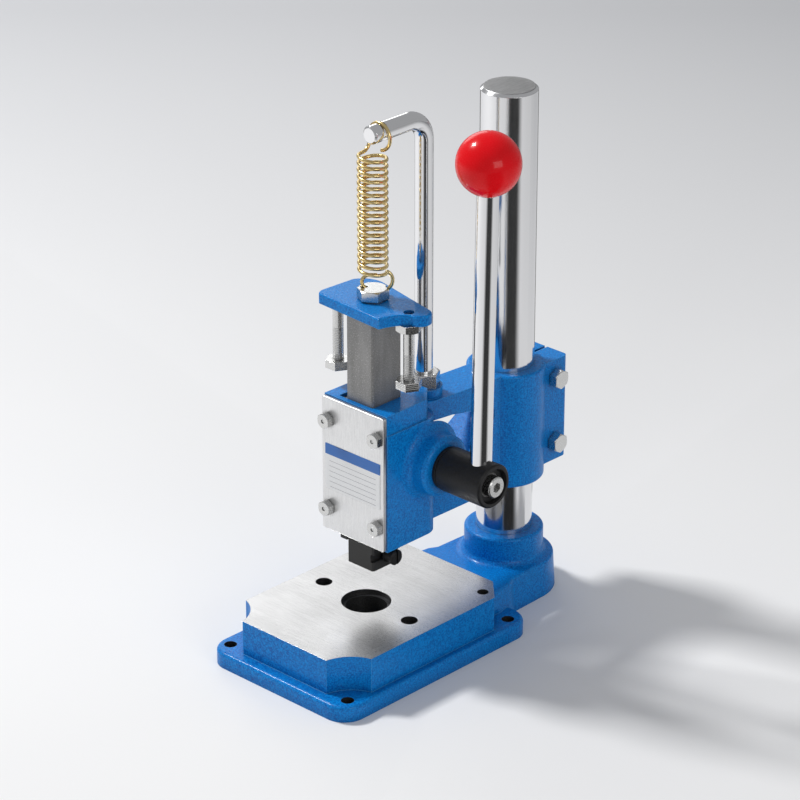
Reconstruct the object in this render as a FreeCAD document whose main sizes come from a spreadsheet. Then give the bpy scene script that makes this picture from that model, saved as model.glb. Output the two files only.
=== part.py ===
import FreeCAD, Part
import math
import os

import Sketcher

# A small bench lever press for punching holes and setting eyelets.
# Millimetres. +X is the lever side, +Y runs back to the column, +Z is up.
# The origin is the centre of the bench-bolt pattern, on the underside of the base.

SIZES = {
    # base casting
    "flange_side_margin": 8.1,
    "flange_front_margin": 10.2,
    "flange_rear_margin": 12.0,
    "flange_thickness": 9.5,
    "flange_corner": 13.0,
    "flange_edge": 2.2,
    "bench_hole_width": 90.8,
    "bench_hole_length": 128.0,
    "bench_hole_diameter": 7.0,
    "bench_pocket_radius": 8.5,
    "relief_depth": 3.0,
    "relief_margin": 16.0,
    "pedestal_side_step": 4.9,
    "pedestal_front_step": 7.3,
    "pedestal_rear_step": 13.5,
    "pedestal_chamfer": 13.5,
    "table_height": 30.0,
    "scallop_radius": 23.0,
    "die_seat_diameter": 27.9,
    "die_seat_depth": 3.0,
    "die_hole_diameter": 23.4,
    "die_hole_forward": 3.0,
    "tooling_hole_spacing": 66.0,
    "tooling_hole_diameter": 9.4,
    "dowel_hole_diameter": 6.5,
    "table_hole_depth": 16.0,
    "neck_height": 21.0,
    "neck_edge": 2.0,
    "neck_margin": 4.7,
    "neck_draft": 5.6,
    "neck_shoulder": 3.8,
    "neck_waist": 0.7,
    "neck_step": 5.0,
    "boss_top": 37.7,
    "boss_foot_fillet": 4.0,
    "boss_rounding": 1.8,
    "set_screw_diameter": 6.0,
    # column
    "column_back": 110.0,
    "column_diameter": 32.0,
    "column_top": 303.0,
    "column_chamfer": 1.7,
    "socket_depth": 30.0,
    # head casting
    "collar_height": 68.8,
    "lug_width": 33.0,
    "lug_corner": 3.0,
    "clamp_slot": 2.0,
    "clamp_bolt_diameter": 6.0,
    "clamp_bolt_width": 10.2,
    "clamp_bolt_head": 5.5,
    "housing_width": 48.0,
    "housing_front": 10.6,
    "housing_back": 32.0,
    "housing_bottom": 71.0,
    "housing_height": 81.0,
    "housing_corner": 11.0,
    "crown_height": 11.5,
    "crown_step": 0.6,
    "beam_width": 25.0,
    "beam_thickness": 12.0,
    "beam_fall": 5.0,
    "window_rounding": 3.5,
    "collar_rounding": 1.5,
    "web_low_rise": 12.0,
    "web_high_rise": 45.0,
    "pinion_boss_diameter": 35.0,
    "pinion_boss_rim": 3.0,
    "pinion_boss_fillet": 5.0,
    "pinion_bulge_diameter": 32.0,
    "arm_boss_diameter": 21.0,
    # guideway, gib and cover plate
    "front_lip": 3.0,
    "window_margin": 9.0,
    "window_side": 4.0,
    "slide_gap": 0.05,
    "gib_thickness": 5.0,
    "gib_depth": 17.0,
    "gib_bottom": 66.0,
    "gib_screw_diameter": 6.0,
    "gib_screw_length": 16.0,
    "gib_nut_width": 10.0,
    "gib_nut_height": 5.0,
    "plate_thickness": 2.4,
    "plate_corner": 1.0,
    "plate_inset": 0.7,
    "plate_edge": 0.4,
    "cover_screw_width": 8.0,
    "cover_screw_head_height": 4.2,
    "cover_screw_diameter": 4.0,
    "cover_screw_length": 9.0,
    "label_height": 26.8,
    "label_thickness": 0.3,
    # ram
    "ram_width": 20.0,
    "ram_depth": 21.6,
    "ram_bottom": 53.2,
    "ram_top": 204.0,
    "ram_chamfer": 1.0,
    "tool_socket_diameter": 10.0,
    "tool_socket_depth": 25.0,
    "tool_groove_height": 4.5,
    "tool_groove_bottom": 58.5,
    "tool_groove_depth": 2.0,
    "tool_screw_diameter": 5.0,
    "tool_screw_stand_off": 1.0,
    "tool_screw_head": 9.0,
    "tool_screw_head_length": 7.0,
    "tool_screw_slot": 1.4,
    # rack and pinion
    "gear_module": 1.5,
    "pinion_teeth": 12,
    "rack_teeth": 12,
    "rack_addendum": 1.0,
    "pinion_addendum": 1.4,
    "tooth_clearance": 0.4,
    "tooth_backlash": 0.08,
    "pinion_face": 19.0,
    "right_journal_diameter": 16.0,
    "right_bush_diameter": 22.0,
    "left_journal_diameter": 12.0,
    "left_bush_diameter": 18.0,
    "running_gap": 0.04,
    "seat_gap": 0.02,
    "end_gap": 0.1,
    # lever
    "thrust_washer_thickness": 2.0,
    "hub_diameter": 25.0,
    "hub_length": 32.4,
    "hub_seat_diameter": 14.0,
    "end_screw_head": 12.0,
    "end_screw_height": 5.0,
    "end_screw_diameter": 5.0,
    "end_screw_length": 8.0,
    "lever_across": 61.9,
    "lever_diameter": 12.0,
    "lever_length": 181.3,
    "lever_lean": 1.2,
    "ball_diameter": 35.0,
    "ball_flat_diameter": 15.0,
    "lever_in_ball": 13.0,
    "retainer_diameter": 17.0,
    "retainer_thickness": 1.6,
    "retainer_screw_head": 8.0,
    "retainer_screw_height": 4.0,
    "retainer_screw_diameter": 4.0,
    "retainer_screw_length": 6.0,
    "hub_dish_depth": 3.0,
    "shaft_end_inset": 3.6,
    # crosshead on the ram and its stops
    "crosshead_thickness": 6.0,
    "crosshead_edge": 1.2,
    "crosshead_left": 29.0,
    "crosshead_right": 36.8,
    "crosshead_front": 17.8,
    "crosshead_back": 20.6,
    "cap_bolt_width": 15.5,
    "cap_bolt_height": 5.6,
    "cap_bolt_diameter": 10.0,
    "cap_bolt_length": 20.0,
    "cap_washer_diameter": 14.5,
    "cap_washer_thickness": 0.8,
    "spring_eye_diameter": 3.2,
    "spring_eye_rise": 2.3,
    "cap_bolt_turn": 44.0,
    "cap_hexagon_turn": -12.0,
    "stop_diameter": 6.0,
    "stop_head_width": 12.7,
    "stop_head_height": 5.0,
    "stop_nut_height": 4.5,
    "stroke": 10.0,
    "spare_stop_gap": 4.0,
    # spring arm and spring
    "arm_back": 42.6,
    "arm_diameter": 10.2,
    "arm_height": 303.3,
    "arm_bend": 13.0,
    "arm_end": 0.7,
    "arm_seat": 16.0,
    "arm_nut_width": 16.5,
    "arm_nut_height": 8.0,
    "hook_groove_inset": 8.0,
    "hook_groove_width": 4.0,
    "hook_groove_depth": 1.2,
    "spring_diameter": 16.9,
    "spring_wire": 2.0,
    "spring_bottom": 225.5,
    "spring_top": 291.5,
    "spring_turns": 17,
    "spring_tight_bend": 1.3,
    "spring_bow_radius": 9.2,
    "spring_bow_angle": 50.0,
    "spring_bow_run": 4.0,
    "spring_flare": 50.0,
    "spring_loop_close": 80.0,
}

doc = FreeCAD.newDocument("lever_hole_punch")
sheet = doc.addObject("Spreadsheet::Sheet", "Sizes")
for row, (alias, number) in enumerate(SIZES.items(), start=1):
    sheet.set("A%d" % row, alias)
    sheet.set("B%d" % row, str(number))
    sheet.setAlias("B%d" % row, alias)
doc.recompute()


class Size:
    """A number together with the sheet expression that gives it."""

    def __init__(self, value, text):
        self.value = float(value)
        self.text = text

    def __add__(self, other):
        return joined(self, "+", other, self.value + amount(other))

    def __radd__(self, other):
        return joined(other, "+", self, amount(other) + self.value)

    def __sub__(self, other):
        return joined(self, "-", other, self.value - amount(other))

    def __rsub__(self, other):
        return joined(other, "-", self, amount(other) - self.value)

    def __mul__(self, other):
        return joined(self, "*", other, self.value * amount(other))

    def __rmul__(self, other):
        return joined(other, "*", self, amount(other) * self.value)

    def __truediv__(self, other):
        return joined(self, "/", other, self.value / amount(other))

    def __neg__(self):
        return Size(-self.value, "(-1 * %s)" % self.text)


def amount(size):
    return size.value if isinstance(size, Size) else float(size)


def text_of(size):
    return size.text if isinstance(size, Size) else repr(float(size))


def joined(left, sign, right, value):
    return Size(value, "(%s %s %s)" % (text_of(left), sign, text_of(right)))


class Names:
    """The sheet's aliases, read as attributes."""

    def __getattr__(self, alias):
        return Size(SIZES[alias], "Sizes." + alias)


d = Names()

# Places that several pieces share.
flange_half = d.bench_hole_width / 2 + d.flange_side_margin
flange_front = d.bench_hole_length / 2 + d.flange_front_margin
flange_rear = d.bench_hole_length / 2 + d.flange_rear_margin
pedestal_half = flange_half - d.pedestal_side_step
pedestal_front = flange_front - d.pedestal_front_step
pedestal_rear = flange_rear - d.pedestal_rear_step
scallop_reach = flange_half + 1.5
scallop_front = pedestal_front + 3.9
dowel_hole_across = pedestal_half - 9.1
dowel_hole_back = pedestal_rear - 13
neck_start = flange_rear + 10
boss_diameter = d.column_diameter + 13.4
set_screw_height = d.boss_top - 8.2
housing_top = d.housing_bottom + d.housing_height
head_bottom = d.housing_bottom - 1
collar_top = head_bottom + d.collar_height
beam_top = housing_top - 9
collar_diameter = d.column_diameter + 12.6
lug_bottom = head_bottom + 5
clamp_bolt_upper = collar_top - 12.2
clamp_bolt_lower = lug_bottom + 11.8
clamp_bolt_back = d.column_back + d.column_diameter / 2 + 7.4
lug_back = clamp_bolt_back + 10.6
arm_boss_top = beam_top + 4
gib_top = housing_top - 2
gib_screw_upper = housing_top - 18
gib_screw_lower = d.housing_bottom + 24
cover_screw_upper = housing_top - 13.7
cover_screw_lower = d.housing_bottom + 14.4
cover_screw_spacing = d.housing_width - 10.8
label_bottom = d.housing_bottom + 26
label_width = d.housing_width - 6.7
pinion_height = d.housing_bottom + 44.8
pinion_boss_reach = d.housing_width / 2 + 13.3
stop_spacing = d.housing_width + 5
ram_front = -1 * d.housing_front + d.front_lip
ram_back = ram_front + d.ram_depth
ram_side = d.ram_width / 2
ram_axis = ram_front + d.ram_depth / 2
guide_front = ram_front - d.slide_gap
guide_back = ram_back + d.slide_gap
gib_side = ram_side + d.slide_gap
guide_left = gib_side + d.gib_thickness
plate_front = -1 * d.housing_front - d.plate_thickness
pitch_radius = d.gear_module * d.pinion_teeth / 2
tip_radius = pitch_radius + d.pinion_addendum
pinion_axis = ram_back - d.rack_addendum + pitch_radius
thrust_start = pinion_boss_reach + d.end_gap / 2
hub_start = thrust_start + d.thrust_washer_thickness + d.end_gap
hub_end = hub_start + d.hub_length
crosshead_top = d.ram_top + d.crosshead_thickness
socket_floor = d.boss_top - d.socket_depth
rack_pitch = d.gear_module * math.pi
tool_screw_height = d.tool_groove_bottom + d.tool_groove_height / 2
eye_height = crosshead_top + d.cap_washer_thickness + d.spring_eye_rise
bow_centre = eye_height + d.spring_bow_radius

X_AXIS = FreeCAD.Vector(1, 0, 0)
Y_AXIS = FreeCAD.Vector(0, 1, 0)
Z_AXIS = FreeCAD.Vector(0, 0, 1)
UPRIGHT = FreeCAD.Rotation(Z_AXIS, 0)
ALONG_X = FreeCAD.Rotation(Y_AXIS, 90)
AGAINST_X = FreeCAD.Rotation(Y_AXIS, -90)
AGAINST_Y = FreeCAD.Rotation(X_AXIS, 90)
ALONG_Y = FreeCAD.Rotation(X_AXIS, -90)
DOWNWARD = FreeCAD.Rotation(X_AXIS, 180)
LEAN = FreeCAD.Rotation(X_AXIS, -d.lever_lean.value)


def put(thing, name, size):
    """Gives a property its value and, where the sheet drives it, its expression."""
    if name.startswith("Placement") or name.startswith("AttachmentOffset"):
        if isinstance(size, Size):
            thing.setExpression(name, size.text)
        return
    setattr(thing, name, amount(size))
    if isinstance(size, Size):
        thing.setExpression(name, size.text)


def new_body(label):
    body = doc.addObject("PartDesign::Body", label)
    body.Label = label
    return body


def place(thing, across=0, back=0, up=0, turn=UPRIGHT):
    where = FreeCAD.Vector(amount(across), amount(back), amount(up))
    thing.Placement = FreeCAD.Placement(where, turn)
    put(thing, "Placement.Base.x", across)
    put(thing, "Placement.Base.y", back)
    put(thing, "Placement.Base.z", up)
    return thing


def sketch_on(body, role, name, right=0, up=0, out=0):
    """A sketch on one of the body's own origin planes, moved in that plane's axes."""
    plane = [item for item in body.Origin.OriginFeatures if item.Role == role][0]
    sketch = body.newObject("Sketcher::SketchObject", name)
    sketch.AttachmentSupport = [(plane, "")]
    sketch.MapMode = "FlatFace"
    offset = FreeCAD.Vector(amount(right), amount(up), amount(out))
    sketch.AttachmentOffset = FreeCAD.Placement(offset, UPRIGHT)
    put(sketch, "AttachmentOffset.Base.x", right)
    put(sketch, "AttachmentOffset.Base.y", up)
    put(sketch, "AttachmentOffset.Base.z", out)
    return sketch


def hold(sketch, kind, where, size):
    """Adds one dimension to a sketch; where is a geometry number, or that and a point."""
    index = sketch.addConstraint(Sketcher.Constraint(kind, *where, amount(size)))
    if isinstance(size, Size):
        sketch.setExpression("Constraints[%d]" % index, size.text)


def flat_point(point):
    return FreeCAD.Vector(amount(point[0]), amount(point[1]), 0)


def outline(sketch, points):
    """A closed outline of straight sides. A side whose end is given as
    (x, y, through_x, through_y) is an arc that passes the second pair."""
    first = sketch.GeometryCount
    count = len(points)
    starts = []
    for index, point in enumerate(points):
        following = points[(index + 1) % count]
        start = flat_point(point)
        end = flat_point(following)
        if len(following) == 4:
            middle = flat_point(following[2:])
            clockwise = (middle - start).cross(end - middle).z < 0
            arc = Part.Arc(end, middle, start) if clockwise else Part.Arc(start, middle, end)
            sketch.addGeometry(arc, False)
            starts.append(2 if clockwise else 1)
        else:
            sketch.addGeometry(Part.LineSegment(start, end), False)
            starts.append(1)
    for index, point in enumerate(points):
        following = (index + 1) % count
        ends = 3 - starts[index]
        sketch.addConstraint(Sketcher.Constraint(
            "Coincident", first + index, ends, first + following, starts[following]))
        hold(sketch, "DistanceX", (first + index, starts[index]), point[0])
        hold(sketch, "DistanceY", (first + index, starts[index]), point[1])
        if len(points[following]) == 4:
            hold_centre(sketch, first + index)


def hold_centre(sketch, number):
    """Fixes an arc between two held points by the coordinate of its centre that
    the points leave free."""
    arc = sketch.Geometry[number]
    chord = arc.EndPoint - arc.StartPoint
    if abs(chord.x) > abs(chord.y):
        hold(sketch, "DistanceY", (number, 3), arc.Center.y)
    else:
        hold(sketch, "DistanceX", (number, 3), arc.Center.x)


def circle(sketch, x, y, diameter):
    centre = FreeCAD.Vector(amount(x), amount(y), 0)
    index = sketch.addGeometry(Part.Circle(centre, Z_AXIS, amount(diameter) / 2), False)
    hold(sketch, "DistanceX", (index, 3), x)
    hold(sketch, "DistanceY", (index, 3), y)
    hold(sketch, "Diameter", (index,), diameter)


def rectangle(sketch, left, right, bottom, top):
    outline(sketch, [(left, bottom), (right, bottom), (right, top), (left, top)])


def hexagon(sketch, across_flats, turn=0.0):
    """A hexagon about the origin, with its first corner that many degrees from x."""
    corner = across_flats / math.sqrt(3)
    angles = [math.radians(turn + 60 * number) for number in range(6)]
    outline(sketch, [(corner * math.cos(angle), corner * math.sin(angle)) for angle in angles])


def feature(kind, body, sketch, reverse=False):
    made = body.newObject("PartDesign::" + kind, sketch.Name + "_" + kind.lower())
    made.Profile = sketch
    made.Reversed = reverse
    return made


def check_change(body, before, grows):
    """Recomputes, and stops if a feature added or removed nothing."""
    doc.recompute()
    change = body.Shape.Volume - before
    if (change > 0) != grows or abs(change) < 1e-3:
        states = ["%s %s" % (item.Name, item.State) for item in body.Group]
        raise ValueError("the last feature of %s did nothing: %s" % (body.Label, states[-4:]))


def volume_of(body):
    doc.recompute()
    return 0.0 if body.Shape.isNull() else body.Shape.Volume


def pad(body, sketch, length, both_sides=False, reverse=False):
    before = volume_of(body)
    made = feature("Pad", body, sketch, reverse)
    if both_sides:
        made.SideType = "Symmetric"
    put(made, "Length", length)
    check_change(body, before, True)
    return made


def cut(body, sketch, length=None, both_sides=False, reverse=False):
    """A pocket of that length, or right through the body where none is given."""
    before = volume_of(body)
    made = feature("Pocket", body, sketch, reverse)
    if both_sides or length is None:
        made.SideType = "Symmetric"
    if length is None:
        made.Type = "ThroughAll"
    else:
        put(made, "Length", length)
    check_change(body, before, False)
    return made


def revolved(body, sketch, axis="V_Axis", removes=False):
    before = volume_of(body)
    made = feature("Groove" if removes else "Revolution", body, sketch)
    made.ReferenceAxis = (sketch, [axis])
    made.Angle = 360
    check_change(body, before, not removes)
    return made


def turned(label, profile, bore=0, name="profile"):
    """A lathe part about its own Z axis from (radius, height) points, with the
    first and last points on the axis or on the bore."""
    body = new_body(label)
    sketch = sketch_on(body, "XZ_Plane", label + "_" + name)
    outline(sketch, profile)
    revolved(body, sketch)
    return body


def ring(label, outer, inner, length, chamfer=0.0):
    """A bush, washer or spacer standing on its own XY plane."""
    outer_radius = outer / 2
    inner_radius = inner / 2
    if amount(chamfer) > 0:
        profile = [(inner_radius, 0), (outer_radius - chamfer, 0), (outer_radius, chamfer),
                   (outer_radius, length - chamfer), (outer_radius - chamfer, length),
                   (inner_radius, length)]
    else:
        profile = [(inner_radius, 0), (outer_radius, 0), (outer_radius, length),
                   (inner_radius, length)]
    return turned(label, profile)


def edges_of(body, test):
    """Names of the edges of the body's last solid for which the test holds."""
    doc.recompute()
    names = []
    for index, edge in enumerate(body.Tip.Shape.Edges, start=1):
        if test(edge):
            names.append("Edge%d" % index)
    if not names:
        raise ValueError("no edge found on " + body.Label)
    return names


def rounded(body, radius, test, kind="Fillet"):
    names = edges_of(body, test)
    base = body.Tip
    made = body.newObject("PartDesign::" + kind, "%s_%s_%d" % (body.Name, kind, len(body.Group)))
    made.Base = (base, names)
    put(made, "Radius" if kind == "Fillet" else "Size", radius)
    doc.recompute()
    return made


def chamfered(body, size, test):
    return rounded(body, size, test, kind="Chamfer")


def ends_of(edge):
    first = edge.valueAt(edge.FirstParameter)
    last = edge.valueAt(edge.LastParameter)
    return first, last


def is_upright(edge):
    first, last = ends_of(edge)
    straight = edge.Curve.TypeId == "Part::GeomLine"
    return straight and abs(first.x - last.x) < 1e-4 and abs(first.y - last.y) < 1e-4


def at_height(edge, height, reach=0.01):
    first, last = ends_of(edge)
    middle = edge.valueAt((edge.FirstParameter + edge.LastParameter) / 2)
    return all(abs(point.z - amount(height)) < reach for point in (first, last, middle))


def copies(label, master, places):
    """One node of identical pieces: a compound of links to the first one."""
    links = []
    for number, (across, back, up, turn) in enumerate(places, start=1):
        link = doc.addObject("App::Link", "%s_%d" % (label, number))
        link.LinkedObject = master
        place(link, across, back, up, turn)
        links.append(link)
    group = doc.addObject("Part::Compound", label)
    group.Label = label
    group.Links = links
    return group


def bevel_corners(body, across_flats, height):
    """Turns the corners off the upper end of a hexagon, at 30 degrees."""
    bevel = sketch_on(body, "XZ_Plane", body.Name + "_bevel")
    corner = across_flats / math.sqrt(3)
    flat = across_flats / 2 * 0.97
    slope = math.tan(math.radians(30))
    drop = (corner + 1 - flat) * slope
    outline(bevel, [(flat, height), (corner + 1, height - drop), (corner + 1, height)])
    revolved(body, bevel, removes=True)


def hex_screw(label, across_flats, head_height, shank, length, turn=0.0):
    """A hexagon-head screw: the seat under the head is its XY plane, head up."""
    body = new_body(label)
    head = sketch_on(body, "XY_Plane", label + "_head")
    hexagon(head, across_flats, turn)
    pad(body, head, head_height)
    rod = sketch_on(body, "XY_Plane", label + "_shank")
    circle(rod, 0, 0, shank)
    pad(body, rod, length, reverse=True)
    bevel_corners(body, across_flats, head_height)
    return body


def hex_nut(label, across_flats, height, bore):
    body = new_body(label)
    sketch = sketch_on(body, "XY_Plane", label + "_hexagon")
    hexagon(sketch, across_flats)
    pad(body, sketch, height)
    hole = sketch_on(body, "XY_Plane", label + "_bore")
    circle(hole, 0, 0, bore)
    cut(body, hole)
    bevel_corners(body, across_flats, height)
    return body


def socket_screw(label, head, head_height, shank, length):
    """A cylinder-head screw: the seat under the head is its XY plane, head up."""
    head_radius = head / 2
    bevel = head_height * 0.12
    body = turned(label, [(0, -1 * length), (shank / 2, -1 * length), (shank / 2, 0),
                          (head_radius, 0), (head_radius, head_height - bevel),
                          (head_radius - bevel, head_height), (0, head_height)])
    recess = sketch_on(body, "XY_Plane", label + "_recess", out=head_height)
    hexagon(recess, head * 0.42)
    cut(body, recess, head_height * 0.5)
    return body


# ---------------------------------------------------------------- base and column


def make_base():
    body = new_body("base_casting")
    flange = sketch_on(body, "XY_Plane", "flange_outline")
    rectangle(flange, -1 * flange_half, flange_half, -1 * flange_front, flange_rear)
    pad(body, flange, d.flange_thickness)
    rounded(body, d.flange_corner, is_upright)
    rounded(body, d.flange_edge, lambda edge: at_height(edge, d.flange_thickness))

    chamfer = d.pedestal_chamfer
    pedestal = sketch_on(body, "XY_Plane", "pedestal_outline")
    outline(pedestal, [
        (-1 * pedestal_half, -1 * pedestal_front), (pedestal_half, -1 * pedestal_front),
        (pedestal_half, pedestal_rear - chamfer), (pedestal_half - chamfer, pedestal_rear),
        (chamfer - pedestal_half, pedestal_rear), (-1 * pedestal_half, pedestal_rear - chamfer)])
    pad(body, pedestal, d.table_height)
    scallops = sketch_on(body, "XY_Plane", "front_scallops", out=d.flange_thickness)
    for sign in (-1, 1):
        circle(scallops, sign * scallop_reach, -1 * scallop_front, 2 * d.scallop_radius)
    cut(body, scallops, d.table_height, reverse=True)

    # The neck runs back from the pedestal and ends round about the column.
    def neck_outline(name, height, end_radius, root):
        sketch = sketch_on(body, "XY_Plane", name, out=height)
        shoulder = end_radius + d.neck_shoulder
        waist = end_radius + d.neck_waist
        outline(sketch, [
            (-1 * root, pedestal_rear - 4), (root, pedestal_rear - 4),
            (shoulder, neck_start - d.neck_step), (waist, neck_start), (end_radius, d.column_back),
            (-1 * end_radius, d.column_back, 0, d.column_back + end_radius),
            (-1 * waist, neck_start), (-1 * shoulder, neck_start - d.neck_step)])
        return sketch

    top_radius = boss_diameter / 2 + d.neck_margin
    low = neck_outline("neck_foot", 0, top_radius + d.neck_draft, pedestal_half - chamfer / 2)
    high = neck_outline("neck_top", d.neck_height, top_radius, pedestal_half - chamfer)
    before = volume_of(body)
    loft = body.newObject("PartDesign::AdditiveLoft", "neck_loft")
    loft.Profile = low
    loft.Sections = [high]
    loft.Ruled = True
    check_change(body, before, True)
    rounded(body, d.neck_edge, lambda edge: at_height(edge, d.neck_height) and all(
        point.y > pedestal_rear.value - 0.01 for point in ends_of(edge)) and any(
        point.y > pedestal_rear.value + 0.5 for point in ends_of(edge)))

    boss = sketch_on(body, "XY_Plane", "column_boss")
    circle(boss, 0, d.column_back, boss_diameter)
    pad(body, boss, d.boss_top)
    boss_radius = boss_diameter.value / 2

    def boss_foot(edge):
        first, last = ends_of(edge)
        axis = FreeCAD.Vector(0, d.column_back.value, d.neck_height.value)
        return at_height(edge, d.neck_height) and all(
            abs(point.distanceToPoint(axis) - boss_radius) < 0.01 for point in (first, last))

    rounded(body, d.boss_foot_fillet, boss_foot)
    rounded(body, d.boss_rounding, lambda edge: at_height(edge, d.boss_top))

    socket = sketch_on(body, "XY_Plane", "column_socket", out=d.boss_top)
    circle(socket, 0, d.column_back, d.column_diameter + 2 * d.running_gap)
    cut(body, socket, d.socket_depth)

    bench_holes = sketch_on(body, "XY_Plane", "bench_bolt_holes")
    pockets = sketch_on(body, "XY_Plane", "rear_bolt_pockets", out=d.flange_thickness)
    for across in (-1, 1):
        for back in (-1, 1):
            x = across * d.bench_hole_width / 2
            y = back * d.bench_hole_length / 2
            circle(bench_holes, x, y, d.bench_hole_diameter)
            if back > 0:
                circle(pockets, x, y, 2 * d.bench_pocket_radius)
    cut(body, pockets, d.table_height, reverse=True)
    cut(body, bench_holes)

    die_y = -1 * d.die_hole_forward
    die_hole = sketch_on(body, "XY_Plane", "die_hole")
    circle(die_hole, 0, die_y, d.die_hole_diameter)
    cut(body, die_hole)
    die_seat = sketch_on(body, "XY_Plane", "die_seat", out=d.table_height)
    circle(die_seat, 0, die_y, d.die_seat_diameter)
    cut(body, die_seat, d.die_seat_depth)
    tooling = sketch_on(body, "XY_Plane", "tooling_holes", out=d.table_height)
    for sign in (-1, 1):
        circle(tooling, sign * d.tooling_hole_spacing / 2, die_y, d.tooling_hole_diameter)
    circle(tooling, dowel_hole_across, dowel_hole_back, d.dowel_hole_diameter)
    cut(body, tooling, d.table_hole_depth)

    relief = sketch_on(body, "XY_Plane", "underside_relief")
    margin = d.relief_margin
    rectangle(relief, margin - flange_half, flange_half - margin,
              margin - flange_front, flange_rear - margin)
    cut(body, relief, d.relief_depth, reverse=True)

    set_screw = sketch_on(body, "XZ_Plane", "set_screw_hole", out=-1 * d.column_back)
    circle(set_screw, 0, set_screw_height, d.set_screw_diameter)
    cut(body, set_screw, d.column_back, reverse=False)
    return body


def make_column():
    radius = d.column_diameter / 2
    bevel = d.column_chamfer
    length = d.column_top - socket_floor - 0.3
    body = turned("column", [(0, 0), (radius - bevel, 0), (radius, bevel),
                             (radius, length - bevel), (radius - bevel, length), (0, length)])
    return place(body, 0, d.column_back, socket_floor + 0.3)


def make_column_screw():
    length = (boss_diameter - d.column_diameter) / 2
    body = turned("column_set_screw", [
        (0, 0), (d.set_screw_diameter / 2 - 1, 0), (d.set_screw_diameter / 2, 1),
        (d.set_screw_diameter / 2, length), (0, length)])
    recess = sketch_on(body, "XY_Plane", "column_screw_recess", out=length)
    hexagon(recess, d.set_screw_diameter / 2)
    cut(body, recess, length / 2)
    start = d.column_back + d.column_diameter / 2 + 2 * d.running_gap
    return place(body, 0, start, set_screw_height, ALONG_Y)


# ---------------------------------------------------------------- head


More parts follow.
